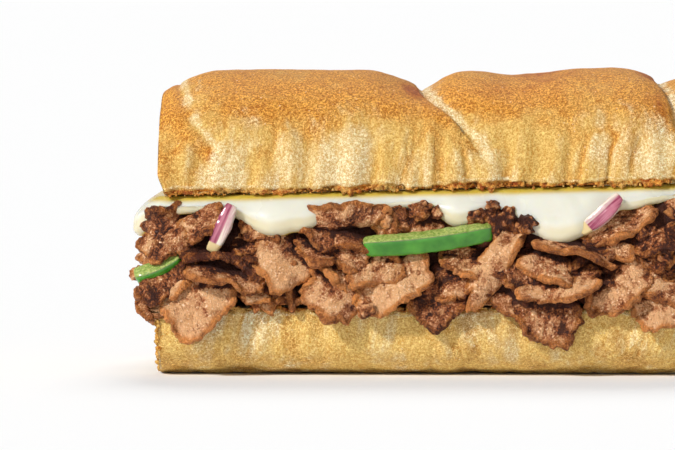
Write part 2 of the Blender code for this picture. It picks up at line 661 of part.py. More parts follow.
def main():
    for old in list(bpy.data.objects):
        bpy.data.objects.remove(old)
    crust = material("crust", *CRUST)
    pale = material("pale_crust", *PALE_CRUST)
    new_object("bun_upper", closed_rings(*upper_bun()), crust)
    new_object("bun_lower", closed_rings(*lower_bun()), pale)
    new_object("cheese", cheese(), material("cheese", *CHEESE))
    pepper, onion = material("pepper", *PEPPER), material("onion", *ONION)
    for row in TOPPINGS:
        new_object(row[0], topping(row), onion if row[0].startswith("onion") else pepper)
    beef_heap(material("beef", *BEEF))
    for made in bpy.context.scene.collection.objects:
        made.data.shade_smooth()
        made.data.set_sharp_from_angle(angle=np.radians(40))


main()
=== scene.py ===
"""The looks of a hot beef submarine sandwich: crust, crumb, beef, melted cheese and vegetables.

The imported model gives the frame: metres, +Z up, the loaf along X with its cut end at -X and its
front at -Y. Each piece is made again here on a fine grid, over the same driving sizes, and stands
for its plain solid.
"""

import bpy
import numpy as np
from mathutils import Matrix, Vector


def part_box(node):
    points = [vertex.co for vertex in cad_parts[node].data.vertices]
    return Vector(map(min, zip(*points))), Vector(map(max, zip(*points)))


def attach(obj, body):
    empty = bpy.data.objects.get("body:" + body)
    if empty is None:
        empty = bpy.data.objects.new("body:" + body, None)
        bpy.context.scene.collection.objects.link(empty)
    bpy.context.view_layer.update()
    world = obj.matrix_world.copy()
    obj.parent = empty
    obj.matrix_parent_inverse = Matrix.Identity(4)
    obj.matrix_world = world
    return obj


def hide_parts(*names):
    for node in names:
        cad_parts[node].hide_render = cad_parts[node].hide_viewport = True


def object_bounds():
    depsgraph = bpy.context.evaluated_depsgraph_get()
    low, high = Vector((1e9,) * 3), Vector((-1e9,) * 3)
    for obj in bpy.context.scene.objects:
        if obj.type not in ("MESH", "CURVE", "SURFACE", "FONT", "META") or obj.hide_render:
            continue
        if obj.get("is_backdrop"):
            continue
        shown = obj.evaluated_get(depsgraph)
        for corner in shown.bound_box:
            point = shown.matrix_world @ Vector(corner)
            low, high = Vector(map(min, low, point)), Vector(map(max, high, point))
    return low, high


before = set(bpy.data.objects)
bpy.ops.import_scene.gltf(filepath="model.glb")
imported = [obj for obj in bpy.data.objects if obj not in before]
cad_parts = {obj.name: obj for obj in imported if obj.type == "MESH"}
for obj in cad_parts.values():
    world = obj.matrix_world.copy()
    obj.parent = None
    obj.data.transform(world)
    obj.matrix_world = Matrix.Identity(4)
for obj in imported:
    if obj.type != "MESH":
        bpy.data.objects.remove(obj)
CAD_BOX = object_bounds()

MM = 0.001
FAR = 1.0  # a distance past every slash, for points that lie on none

# Sizes of the loaf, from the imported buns
CUT_END, HEEL_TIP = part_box("bun_lower")[0][0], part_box("bun_lower")[1][0]
LOAF_WIDTH = 0.077
LOWER_CUT = 0.018  # height of the lower bun's cut face
UPPER_CUT = 0.0468  # height of the upper bun's cut face at the cut end
FILL_SLOPE = 0.025  # how it rises towards the heel
CREST = 0.080
# The lobes' levels along the crest: distance from the cut end and how far the crust lies off CREST
CREST_LINE = (
    (0.000, 0.0),
    (0.012, -0.0008),
    (0.052, -0.0009),
    (0.067, -0.0024),
    (0.078, -0.0002),
    (0.092, -0.0022),
    (0.112, -0.0005),
    (0.126, 0.0),
    (0.157, 0.0),
)
HEEL_LENGTH = 0.030
HEEL_POWER = 2.5  # squareness of the heel from above, and of each bun's section
UPPER_POWER = 2.7
LOWER_POWER = 4.0
LOWER_SINK = 0.0009  # how far the lower bun's round foot is flattened

# Slashes across the upper bun: place from the cut end, depth, and how far it runs towards the
# heel on its way down the front
SCORES = ((0.0030, 0.0010, 0.0185), (0.0692, 0.0041, 0.0225), (0.1308, 0.0050, 0.0127))
SCORE_SKEW = 0.0127  # how far the section leads towards the heel at the front
SHOULDER = 0.016  # length over which a lobe rounds down to its slash
FLANK = 0.019  # length over which the next lobe rises from it
END_DROOP = 0.0062  # how far the crust is pressed down at the cut end, and over what length
DROOP_LENGTH = 0.014
TUCK, TUCK_HEIGHT = 0.0018, 0.006  # the cut end's lower edge is drawn in
WRINKLE_PITCH = 0.0078
WRINKLE_DEPTH = 0.0006

# Surfaces of the bread
PLEAT_SIZE = 0.0068  # spacing of the upright folds
PLEAT_DEPTH = 0.0013
CREASE_WIDTH = 0.32  # share of the folds' unevenness that a crease takes up
LEAN = 0.42  # how far the folds lean to one side or the other, and over what length that changes
LEAN_SIZE = 0.021
SLASH_GROOVE = 0.0007  # depth of the narrow groove along a slash, and about its width
SLASH_TORN = (0.0012, 0.0015)  # where the torn strip lies past a slash, and half its width
SLASH_FADE = 0.0050  # length over which its paleness fades towards the heel
SLASH_LIP = (0.0030, 0.0034)  # where the browned lip lies before a slash, and half its width
SLASH_WANDER = 0.0011  # how far a slash strays from its line
DIMPLE_DEPTH = 0.00022
PORE_DEPTH = 0.0010  # depth of the holes in the cut faces
TORN_BAND = (0.0014, 0.0009)  # height of the torn toasted band along a cut edge, and its wander
TORN_DEPTH = 0.0010

# Sizes of the filling
CORE_BULGE = 0.0016  # how far the core stands out past the buns
CORE_BELOW = 0.0040  # how far its top lies below the upper bun's cut
CHEESE_BELOW = 0.0020  # the same for the middle of the cheese, less what it is raised
CHEESE_RAISE = 0.0009
CHEESE_THICKNESS = 0.0021
CHEESE_INSET = 0.0027  # how far inside the loaf's outline it starts to bend
CHEESE_BEND = 0.0030  # radius of the bend
CHEESE_SPLAY = 0.30  # angle, in radians, at which it hangs outwards
CHEESE_OVERHANG = 0.0024  # how far it reaches out at the cut end
CHEESE_SWELL = 0.7  # how much thicker it gets down a drip
DRIP_BULGE = 0.0012
SLICE_THICKNESS = 0.0023
SLICE_RUFFLE = 0.0008  # depth of its waves round the rim, its folds and its curled rim
SLICE_FOLD = 0.0007
SLICE_CURL = 0.0012
SLICE_POWER = 3.6  # squareness of its outline
BUNDLE_SIZE = 0.0021  # width of a bundle of fibres
BUNDLE_DEPTH = 0.00013
LUMP_DEPTH = 0.00022  # unevenness of a slice's faces
RIM_SIZE = 0.0026  # size of the lumps along its rim
FACE_GRID = (420, 80)  # cells of the map of how far out the heap stands, along it and upwards
FACE_CELL = 0.001  # height of a cell
DEEP_FALL = 0.0022  # depth behind the neighbours at which a slice's painted shade is darkest
CORNER_CALM = 0.012  # distance from the cut end's corners over which that painted shade fades out
BUN_EDGE = 0.009  # how far within a bun's edge the point lies from which slices are pushed out
COVER_INSET = 0.0045  # distance inside the outline over which slices come to lie under the cheese
CLEARANCE = 0.0007  # room between the filling and the buns

# Drips of the cheese: distance from the cut end, side, half width, length
DRIPS = (
    (0.0340, -1, 0.012, 0.0056),
    (0.0795, -1, 0.006, 0.0034),
    (0.1045, -1, 0.013, 0.0086),
    (0.0200, 1, 0.013, 0.0070),
    (0.0640, 1, 0.010, 0.0050),
    (0.1120, 1, 0.014, 0.0080),
)
CHEESE_HANG = 0.0016  # how far it hangs elsewhere, and at the cut end, rounded to its corners
END_HANG = 0.0070
END_ROUNDING = 0.008

# Beef slices at the front, in millimetres and degrees: distance from the cut end, height, how far
# the middle stands out, length, width, roll, lean, sag of the ends, sag of the long sides, and
# how light the meat is, from 0 to 1
FRONT_SLICES = (
    (2.8, 39.6, 1.4, 11, 10, 20, 5, 3.0, -2.0, 0.25),
    (11.2, 40.0, 2.6, 12, 7, 25, 30, 0.5, 0.5, 0.45),
    (1.8, 35.2, 2.0, 12, 8, 28, 30, 0.5, 0.8, 0.6),
    (1.6, 24.6, 3.2, 13, 8, 38, 25, -0.6, 1.5, 0.28),
    (-1.0, 17.6, -1.6, 11, 6, -30, 20, 0.4, 0.4, 0.5),
    (10.4, 20.2, 3.8, 21, 15, 33, 14, 0.8, 0.6, 0.85),
    (5.0, 26.0, 2.4, 11, 8, 50, 30, 0.5, 0.5, 0.7),
    (19.0, 28.4, 3.4, 22, 12, -14, 50, 1.6, 0.4, 0.55),
    (16.4, 32.0, 1.4, 19, 10, -4, 72, 0.8, 0.0, 0.15),
    (24.4, 34.6, 1.5, 9, 8, 10, 30, 0.5, 0.5, 0.6),
    (27.8, 39.0, 0.5, 12, 8, -25, 40, 0.5, 0.5, 0.3),
    (33.2, 31.2, 2.8, 16, 15, -42, 22, 0.6, 1.4, 0.8),
    (24.2, 29.6, 1.0, 14, 10, -25, 70, 0.4, 0.0, 0.2),
    (48.8, 41.4, 3.6, 21, 6, -2, -25, 0.8, 1.2, 0.45),
    (46.8, 37.0, 2.0, 17, 9, -6, 48, 0.5, 0.8, 0.45),
    (42.4, 33.0, 1.4, 14, 9, -25, 62, 0.6, 0.0, 0.5),
    (50.4, 32.0, 3.0, 9, 9, -10, 15, 0.9, 0.9, 0.55),
    (70.2, 41.0, 0.8, 14, 11, -8, 20, 1.2, -0.8, 0.55),
    (85.2, 39.8, 0.8, 9, 9, 25, 20, 0.8, 0.8, 0.1),
    (96.4, 38.6, 1.8, 8, 8, 70, 20, 0.8, 0.8, 0.1),
    (49.0, 27.2, 2.2, 14, 8, -35, 28, 0.4, 0.8, 0.75),
    (46.6, 22.8, 3.4, 17, 14, -28, 12, 1.2, 1.0, 0.6),
    (61.8, 24.4, 4.0, 20, 12, 28, 22, 0.8, 1.2, 0.85),
    (72.6, 19.4, 2.4, 13, 11, -42, 6, 0.5, 1.2, 0.3),
    (76.8, 25.0, 2.4, 9, 10, 10, 20, 1.0, 1.0, 0.5),
    (87.8, 29.8, 4.6, 25, 7, 56, 12, 1.4, 0.8, 0.8),
    (81.0, 30.0, 2.6, 13, 8, -15, 40, 0.5, 0.6, 0.75),
    (57.2, 28.0, 2.6, 14, 9, 8, 34, 0.5, 0.5, 0.7),
    (110.2, 34.0, 3.0, 25, 9, -20, 60, 1.2, 0.0, 0.5),
    (93.6, 27.6, 4.2, 12, 9, -20, 22, 0.6, 0.9, 0.35),
    (101.8, 29.0, 3.8, 15, 8, -22, 42, 0.5, 0.4, 0.65),
    (105.0, 23.8, 4.0, 20, 10, 4, 46, -1.2, 0.6, 0.7),
    (101.2, 16.6, 2.6, 18, 13, -38, 0, 0.8, 0.8, 0.34),
    (118.6, 40.2, 1.8, 20, 9, 20, 42, 0.5, 0.6, 0.65),
    (117.8, 34.8, 2.4, 13, 6, -14, 30, 0.6, 0.6, 0.6),
    (120.6, 23.6, 3.6, 17, 10, 42, 18, 1.6, 0.8, 0.6),
    (128.6, 33.2, 2.0, 12, 10, 60, 20, 0.8, 0.8, 0.3),
    (131.0, 18.8, 3.0, 15, 11, 20, 14, 0.8, 1.0, 0.85),
    (133.0, 42.0, 0.6, 14, 9, 0, 20, 0.5, 1.0, 0.25),
    (60.8, 40.2, 1.6, 9, 7, 25, 20, 0.6, 0.6, 0.5),
    (92.0, 21.4, 1.6, 12, 8, -30, 20, 0.6, 0.6, 0.35),
    (25.8, 21.8, 3.2, 8, 4, -5, 30, 0.4, 0.4, 0.75),
)
FRONT_PIECES = 3  # the front slices are shared out among as many pieces

# The rest of the heap, by rule: rows of height and number of slices, their share of the outline,
# and two seeds. The first set goes round the loaf from the heel, and the others fill the gaps that
# it leaves round the heel, over the cut end and along the rear.
RULED_ROWS = (
    (((0.0215, 13), (0.0300, 11), (0.0380, 8)), (0.292, 0.955), 41, 100),
    (((0.0250, 5), (0.0325, 5), (0.0400, 6)), (0.285, 0.455), 63, 400),
    (((0.0235, 4), (0.0295, 4), (0.0350, 4)), (0.825, 0.985), 64, 600),
    (((0.0270, 6), (0.0335, 8), (0.0395, 8)), (0.420, 0.830), 65, 800),
)
# Ranges of their stand-out, length, width, roll and lean in degrees, and sag
REAR_OUT = (-0.0008, 0.0018)
REAR_LENGTH = (0.015, 0.023)
REAR_WIDTH = (0.010, 0.014)
REAR_TURN = ((-32, 32), (12, 52))
REAR_SAG = (0.0003, 0.0015)

# Small crumbly lumps of beef, in millimetres: distance from the cut end, height, stand-out, size,
# and how light the meat is
LUMPS = (
    (83.4, 41.6, 3.6, 7.6, 0.36),
    (87.2, 43.4, 3.2, 6.6, 0.42),
    (89.8, 39.4, 4.0, 9.0, 0.34),
    (93.6, 39.4, 3.4, 6.6, 0.38),
    (96.4, 39.6, 4.0, 7.8, 0.34),
    (68.6, 43.4, 3.0, 6.2, 0.50),
    (72.8, 42.6, 3.2, 5.0, 0.55),
    (117.8, 32.5, 3.6, 5.0, 0.55),
    (112.6, 33.6, 3.2, 4.4, 0.20),
    (127.4, 36.8, 3.8, 6.0, 0.30),
    (131.6, 32.4, 3.6, 6.0, 0.28),
    (134.4, 37.4, 3.0, 6.0, 0.35),
    (59.6, 40.4, 3.4, 4.0, 0.90),
    (62.4, 38.6, 3.2, 3.6, 0.95),
    (54.3, 17.8, 5.0, 5.0, 0.65),
    (31.0, 37.4, 2.6, 4.6, 0.35),
    (24.0, 38.4, 2.4, 3.6, 0.60),
    (-5.4, 26.6, 1.2, 3.4, 0.62),
)
SHREDS_FRONT, SHREDS_REAR = 56, 40  # number of small shreds
SHRED_SEED = 77

# Green pepper and red onion: name, distance from the cut end, side, height, stand-out, length,
# width, thickness, roll, lean, bow, in millimetres and degrees
TOPPINGS = (
    ("pepper_front", 70.6, -1, 35.6, 4.0, 34, 4.4, 5.0, 7, 62, 1.6),
    ("pepper_end", 0.4, -1, 28.0, 1.0, 13, 4.4, 4.2, 24, 45, 1.0),
    ("onion_left", 17.0, -1, 38.7, 4.4, 13.5, 4.2, 2.4, 66, 12, 0.3),
    ("onion_right", 115.4, -1, 42.3, 4.8, 14, 4.4, 2.6, 42, 20, 0.9),
    ("pepper_rear", 92.0, 1, 34.6, 3.6, 30, 4.2, 3.8, -8, 45, -2.0),
    ("onion_rear", 42.0, 1, 36.6, 3.6, 15, 4.0, 2.4, 50, 20, 1.2),
)

STEEP = 55  # an onion strip rolled further than this shows its pale edge on its right
STRIP_RELIEF = 0.0001  # unevenness of a strip's faces
EDGE_CRUMBS, END_CRUMBS = 1100, 160  # along the cut edges, and down the edges of the cut end

# Mesh fineness
UPPER_GRID = (330, 191, 40)  # stations along, points over the crust, points over the cut face
LOWER_GRID = (330, 121, 50)
CAP_RINGS = 26  # rings over the cut end, and stations round the heel
HEEL_RINGS = 40
CHEESE_AROUND = 620  # points round the cheese's outline
FRONT_GRID = (126, 22)  # points round a slice, rings from its middle to its edge
REAR_GRID = (72, 12)
SHRED_GRID = (32, 6)
LUMP_GRID = (56, 30)
CRUMB_GRID = (6, 4)
CORE_GRID = (260, 96)  # stations along, points round
STRIP_GRID = (90, 56)

# Camera and light
AIM = (-0.0316, -0.038, 0.0394)
CAMERA_DISTANCE = 1.5
CAMERA_YAW = -1.5  # degrees, towards the heel
CAMERA_RISE = 2.5
LENS = 307.2
SUNS = (
    ("key", (0.62, 0.55, -0.58), 3.1, 5.0),
    ("back", (-0.05, -0.90, -1.0), 1.1, 28.0),
    ("front", (0.15, 1.0, -0.12), 0.25, 25.0),
)
SKY = 0.22


def smooth(value):
    """Eases from 0 to 1."""
    value = np.clip(value, 0, 1)
    return value * value * (3 - 2 * value)


def signed_power(value, power):
    """A power of the value's size, with the value's sign."""
    return np.sign(value) * np.abs(value) ** power


def waves(points, size, seed, count=7):
    """Smooth unevenness from about -1 to 1: sine waves of about that size in seeded directions."""
    draw = np.random.default_rng(seed)
    directions = draw.normal(size=(count, 3))
    directions *= 2 * np.pi / size / np.linalg.norm(directions, axis=1, keepdims=True)
    phases = draw.uniform(0, 2 * np.pi, count)
    return np.sin(points @ directions.T + phases).sum(-1) / np.sqrt(count * 2)


def scrambled(corner, seed):
    """A whole number for each cell of a lattice, the same each run and without a pattern."""
    cell = corner @ np.array([73856093, 19349663, 83492791]) + seed * 7919
    cell = (cell ^ (cell >> 13)) * 1274126177
    cell = (cell ^ (cell >> 16)) * 668265263
    return cell ^ (cell >> 15)


def noise(points, size, seed=0):
    """Value noise from -1 to 1: random numbers at the corners of cubes of that size, eased
    between."""
    place = np.asarray(points) / size + seed * 17.31
    corner = np.floor(place).astype(np.int64)
    share = smooth(place - corner)
    total = np.zeros(place.shape[:-1])
    for step in np.ndindex(2, 2, 2):
        weight = np.prod(np.where(np.array(step) == 1, share, 1 - share), axis=-1)
        total += ((scrambled(corner + step, seed) & 0xFFFF) / 32767.5 - 1) * weight
    return total


def bundles(points, size, seed=0):
    """Rounded lumps with seams between: one seeded point in each cube of that size, and how much
    nearer the nearest one is than the next, 0 on a seam."""
    place = np.asarray(points) / size + seed * 17.31
    corner = np.floor(place).astype(np.int64)
    nearest = np.full(place.shape[:-1], 9.0)
    following = nearest.copy()
    for step in np.ndindex(3, 3, 3):
        cell = corner + np.array(step) - 1
        code = scrambled(cell, seed)
        spot = cell + np.stack([(code >> shift & 1023) / 1023 for shift in (0, 10, 20)], -1)
        away = np.linalg.norm(spot - place, axis=-1)
        following = np.minimum(following, np.maximum(nearest, away))
        nearest = np.minimum(nearest, away)
    return following - nearest


def fractal(points, size, seed=0, octaves=3, gain=0.5):
    """Noise of that size with finer and weaker layers of it added."""
    layers = [noise(points, size / 2**n, seed + n) * gain**n for n in range(octaves)]
    return np.sum(layers, axis=0)


def half_width(x):
    """Half the loaf's width at x: even along the body, then rounding to nothing at the heel."""
    share = np.clip((x - HEEL_TIP + HEEL_LENGTH) / HEEL_LENGTH, 0, 1)
    return LOAF_WIDTH / 2 * (1 - share**HEEL_POWER) ** (1 / HEEL_POWER)


def upper_cut(x):
    """Height of the upper bun's cut face at x."""
    return UPPER_CUT + FILL_SLOPE * (x - CUT_END)


def lower_cut(x):
    """Height of the lower bun's cut face at x."""
    return LOWER_CUT + 0 * x


def crest_offset(x):
    """How far the crest lies off its even height at x, eased between the named places."""
    places, levels = np.transpose(CREST_LINE)
    spot = np.interp(x - CUT_END, places, np.arange(len(places)))
    before = np.minimum(spot.astype(int), len(places) - 2)
    return levels[before] + (levels[before + 1] - levels[before]) * smooth(spot - before)


def plan_outline(count, rounding=0):
    """The loaf from above: evenly spaced points anticlockwise from the front corner of the cut
    end, and the outward normals. Corners are averaged over that many neighbours each way."""
    body = np.linspace(CUT_END, HEEL_TIP - HEEL_LENGTH, 60)
    heel = HEEL_TIP - HEEL_LENGTH + HEEL_LENGTH * np.sin(np.linspace(0, np.pi / 2, 40)[1:])
    x = np.concatenate([body, heel])
    front = np.stack([x, -half_width(x)], 1)
    loop = np.concatenate([front, front[-2::-1] * (1, -1), front[:1]])
    run = np.concatenate([[0], np.cumsum(np.linalg.norm(np.diff(loop, axis=0), axis=1))])
    stops = np.linspace(0, run[-1], count, endpoint=False)
    points = np.stack([np.interp(stops, run, loop[:, axis]) for axis in (0, 1)], 1)
    if rounding:
        turned = [np.roll(points, step, axis=0) for step in range(-rounding, rounding + 1)]
        points = np.mean(turned, axis=0)
    tangents = np.roll(points, -1, axis=0) - np.roll(points, 1, axis=0)
    tangents /= np.linalg.norm(tangents, axis=1, keepdims=True)
    return points, np.stack([tangents[:, 1], -tangents[:, 0]], 1)


def stations(count):
    """Places along X for the loaf's rings, closer together round the heel."""
    body = np.linspace(CUT_END, HEEL_TIP - HEEL_LENGTH, count - HEEL_RINGS)
    turn = np.linspace(0, np.pi / 2, HEEL_RINGS + 2)[1:-1]
    return np.concatenate([body, HEEL_TIP - HEEL_LENGTH + HEEL_LENGTH * np.sin(turn)])[:, None]


def section_arc(count, power, fine, reach):
    """Angles from the front edge over a section to its rear edge. Near the edges they stand at
    that many even heights, up to that share of the section, and beyond at even angles."""
    low = np.arcsin(np.linspace(0, reach, fine) ** (power / 2))
    rest = np.linspace(low[-1], np.pi / 2, (count + 1) // 2 - fine + 1)[1:]
    half = np.concatenate([low, rest])
    return np.concatenate([half, np.pi - half[-2::-1]])[None]


def shear(x, lead):
    """Moves a ring towards the heel at the front and back at the rear, along the slashes. It
    fades out towards both ends, so that the cut end stays square."""
    room = np.minimum((x - CUT_END) * 0.8, (HEEL_TIP - x) * 0.55)
    return np.minimum(SCORE_SKEW, np.maximum(room, 0)) * lead


def slash_lead(lead, height):
    """How far a slash has run towards the heel, from 0 at the crest to 1 at the front edge."""
    return np.sign(lead) * (1 - height)


def score_places(x, lead, height):
    """Signed distance past each slash, and its depth."""
    lead = slash_lead(lead, height)
    wander = SLASH_WANDER * np.sin(height * 9 + x * 60)
    return [(x - (CUT_END + place + run * lead) + wander, depth) for place, depth, run in SCORES]


def score_drop(x, lead, height):
    """How far the crust lies below the lobes. Towards the heel a lobe rounds down steeply to its
    slash, and the next one rises again more slowly. The slash runs out low on the sides."""
    drop = np.zeros_like(x)
    for past, depth in score_places(x, lead, height):
        before = np.clip(1 + past / SHOULDER, 0, 1)
        after = np.clip(1 - past / FLANK, 0, 1)
        shape = np.where(past < 0, 1 - np.sqrt(1 - before**2), after**1.9)
        drop = np.maximum(drop, shape * depth)
    droop = END_DROOP * np.clip(1 - (x - CUT_END) / DROOP_LENGTH, 0, 1) ** 1.8
    return (drop + droop) * smooth((height - 0.12) / 0.5)


def wrinkles(x, height, seed):
    """Upright folds in the sides of the bun, in metres outwards."""
    wander = 1.6 * np.sin(x / 0.013 + seed) + 0.8 * np.sin(x / 0.0051 + 2 * seed + height)
    fold = np.sin(2 * np.pi * x / WRINKLE_PITCH + wander)
    return WRINKLE_DEPTH * fold * smooth((0.75 - height) / 0.5)


def ring_quads(rings, around):
    """Quads between neighbouring closed rings of points."""
    ring, step = np.meshgrid(np.arange(rings - 1), np.arange(around), indexing="ij")
    after = (step + 1) % around
    corners = [ring * around + step, (ring + 1) * around + step,
               (ring + 1) * around + after, ring * around + after]
    return np.stack(corners, -1).reshape(-1, 4)


def closed(rings):
    """A closed surface from rings of points: each end ring is drawn together to its middle."""
    count, around = rings.shape[:2]
    points = ring_values(rings)
    step = np.arange(around)
    after = (step + 1) % around
    last = (count - 1) * around
    first_fan = np.stack([step, after, np.full(around, count * around)], -1)
    last_fan = np.stack([last + after, last + step, np.full(around, count * around + 1)], -1)
    return points, ring_quads(count, around), np.concatenate([first_fan, last_fan])


def ring_values(values):
    """A number or vector for each point of a closed surface, the means of its first and last
    rings added for its two end points."""
    flat = values.reshape(-1, *values.shape[2:])
    return np.concatenate([flat, values[:1].mean(1), values[-1:].mean(1)])


def normals_of(rings):
    """Unit normals of a grid of closed rings: the cross product of its two directions."""
    along = np.gradient(rings, axis=0)
    around = np.roll(rings, -1, axis=1) - np.roll(rings, 1, axis=1)
    normal = np.cross(around, along)
    return normal / np.maximum(np.linalg.norm(normal, axis=-1, keepdims=True), 1e-12)


def new_mesh(name, shape, values, vectors):
    """A mesh from points, quads and triangles, turned outwards, with its own point attributes."""
    points, quads, triangles = shape
    corners = np.concatenate([quads[:, [0, 1, 2]], quads[:, [0, 2, 3]], triangles])
    a, b, c = (points[corners[:, i]] for i in range(3))
    if np.einsum("ij,ij->i", a, np.cross(b, c)).sum() < 0:
        quads, triangles = quads[:, ::-1], triangles[:, ::-1]
    mesh = bpy.data.meshes.new(name)
    mesh.vertices.add(len(points))
    mesh.vertices.foreach_set("co", points.astype(np.float32).ravel())
    loops = np.concatenate([quads.ravel(), triangles.ravel()])
    mesh.loops.add(len(loops))
    mesh.loops.foreach_set("vertex_index", loops.astype(np.int32))
    first = len(quads) * 4
    starts = np.concatenate([np.arange(len(quads)) * 4, first + np.arange(len(triangles)) * 3])
    mesh.polygons.add(len(starts))
    mesh.polygons.foreach_set("loop_start", starts.astype(np.int32))
    mesh.update(calc_edges=True)
    mesh.validate()
    mesh.shade_smooth()
    for key, value in values.items():
        layer = mesh.attributes.new(key, "FLOAT", "POINT")
        layer.data.foreach_set("value", np.asarray(value, dtype=np.float32))
    for key, value in vectors.items():
        layer = mesh.attributes.new(key, "FLOAT_VECTOR", "POINT")
        layer.data.foreach_set("vector", np.asarray(value, dtype=np.float32).ravel())
    return mesh


def new_object(name, data):
    """An object of the scene at the origin, from its mesh, light or camera."""
    made = bpy.data.objects.new(name, data)
    bpy.context.scene.collection.objects.link(made)
    return made


def piece(name, shape, values, vectors, material, slot, *nodes):
    """A piece of the sandwich that rides with it and stands for those plain solids."""
    made = new_object(name, new_mesh(name, shape, values, vectors))
    made.data.materials.append(material)
    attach(made, "root")
    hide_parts(*nodes)


def ring_piece(name, rings, values, vectors, material, slot, node):
    """A piece from closed rings of points, with the values and vectors of each of them."""
    values = {key: ring_values(value) for key, value in values.items()}
    vectors = {key: ring_values(value) for key, value in vectors.items()}
    piece(name, closed(rings), values, vectors, material, slot, node)


def joined(shapes):
    """Several closed shapes as one list of points, quads, triangles and point values."""
    points, quads, triangles, values = [], [], [], []
    total = 0
    for (shape_points, shape_quads, shape_triangles), value in shapes:
        points.append(shape_points)
        quads.append(shape_quads + total)
        triangles.append(shape_triangles + total)
        values.append(value)
        total += len(shape_points)
    merged = {key: np.concatenate([value[key] for value in values]) for key in values[0]}
    return (np.concatenate(points), np.concatenate(quads), np.concatenate(triangles)), merged


def arithmetic(operation, reflected=False):
    """A method for an operator: a Math node on the value and the other one, or reflected."""

    def method(value, other):
        return value.math(operation, *((other, value) if reflected else (value, other)))

    return method


class Value:
    """One output of a material's nodes. Arithmetic on it adds Math nodes."""

    def __init__(self, finish, socket):
        self.finish, self.socket = finish, socket

    def math(self, operation, *values, **settings):
        """A Math node on those values."""
        return self.finish.node("ShaderNodeMath", {"operation": operation, **settings}, values)

    __add__, __radd__ = arithmetic("ADD"), arithmetic("ADD", True)
    __sub__, __rsub__ = arithmetic("SUBTRACT"), arithmetic("SUBTRACT", True)
    __mul__, __rmul__ = arithmetic("MULTIPLY"), arithmetic("MULTIPLY", True)

    def held(self):
        """Kept between 0 and 1."""
        return self.math("ADD", self, 0.0, use_clamp=True)

    def between(self, low, high):
        """Eases from 0 to 1 as the value goes from low to high."""
        settings = {"interpolation_type": "SMOOTHSTEP"}
        return self.finish.node("ShaderNodeMapRange", settings, (self, low, high, 0.0, 1.0))


class Finish:
    """A material in the making: its node tree and its Principled shader."""

    def __init__(self, name, gloss, depth=0.0, radius=(0.0, 0.0, 0.0), **constants):
        """gloss is the specular level, depth how much of the light goes under the surface, and
        radius how far its red, green and blue go there, in metres."""
        self.material = bpy.data.materials.new(name)
        self.material.use_nodes = True
        self.tree = self.material.node_tree
        self.shader = self.tree.nodes["Principled BSDF"]
        constants.update(Specular_IOR_Level=gloss, Subsurface_Weight=depth,
                         Subsurface_Radius=radius, Subsurface_Scale=1.0)
        for key, value in constants.items():
            self.shader.inputs[key.replace("_", " ")].default_value = value
        self.object = self.node("ShaderNodeTexCoord", output="Object")

    def node(self, kind, settings=None, inputs=(), output=0):
        """Any node: its settings first, a ramp's stops among them, then its sockets by place
        or name."""
        made = self.tree.nodes.new(kind)
        for key, value in (settings or {}).items():
            if key == "stops":
                self.set_stops(made.color_ramp, value)
            else:
                setattr(made, key, value)
        pairs = inputs.items() if isinstance(inputs, dict) else enumerate(inputs)
        for key, value in pairs:
            if isinstance(value, Value):
                self.tree.links.new(value.socket, made.inputs[key])
            elif value is not None:
                made.inputs[key].default_value = value
        return Value(self, made.outputs[output])

    @staticmethod
    def set_stops(ramp, stops):
        """A ramp's stops, each a place and a colour or a grey."""
        while len(ramp.elements) < len(stops):
            ramp.elements.new(1.0)
        for element, (place, colour) in zip(ramp.elements, stops):
            element.position = place
            grey = not isinstance(colour, tuple)
            element.color = (colour, colour, colour, 1.0) if grey else (*colour, 1.0)

    def attribute(self, name, output="Fac"):
        """A value that the mesh carries for each of its points."""
        return self.node("ShaderNodeAttribute", {"attribute_name": name}, output=output)

    def scaled(self, vector, scale):
        """A vector multiplied along each axis."""
        settings = {"operation": "MULTIPLY"}
        return self.node("ShaderNodeVectorMath", settings, (vector, scale))

    def noise(self, scale, detail=3.0, roughness=0.55, vector=None, distortion=0.0):
        """Noise from 0 to 1, with that many features in a metre."""
        inputs = {"Vector": vector or self.object, "Scale": scale, "Detail": detail,
                  "Roughness": roughness, "Distortion": distortion}
        return self.node("ShaderNodeTexNoise", {}, inputs)

    def cells(self, scale):
        """Distance to the nearest of scattered points, that many of them in a metre."""
        inputs = {"Vector": self.object, "Scale": scale}
        return self.node("ShaderNodeTexVoronoi", {}, inputs, "Distance")

    def mix(self, factor, first, second):
        """Colours mixed by a factor: the first at 0 and the second at 1."""
        return self.blended("MIX", factor, first, second)

    def tinted(self, factor, first, second):
        """The first colour multiplied by the second, as far as the factor says."""
        return self.blended("MULTIPLY", factor, first, second)

    def blended(self, kind, factor, first, second):
        """A Mix node for colours: sockets 6 and 7 are its colours and output 2 is the result."""
        inputs = {0: factor, 6: self.colour(first), 7: self.colour(second)}
        return self.node("ShaderNodeMix", {"data_type": "RGBA", "blend_type": kind}, inputs, 2)

    @staticmethod
    def colour(value):
        """A colour of three numbers gets its fourth, and anything else stays."""
        return (*value, 1.0) if isinstance(value, tuple) else value

    def relief(self, height, distance, strength=1.0, below=None):
        """A Bump node over that height, laid on another one."""
        inputs = {"Strength": strength, "Distance": distance, "Height": height, "Normal": below}
        return self.node("ShaderNodeBump", {}, inputs)

    def done(self, colour, roughness, normal=None, coat=None):
        """Links the finished colour, roughness, bump and coat to the shader."""
        links = (("Base Color", colour), ("Roughness", roughness), ("Normal", normal),
                 ("Coat Weight", coat))
        for key, value in links:
            if isinstance(value, Value):
                self.tree.links.new(value.socket, self.shader.inputs[key])
            elif value is not None:
                self.shader.inputs[key].default_value = self.colour(value)
        return self.material


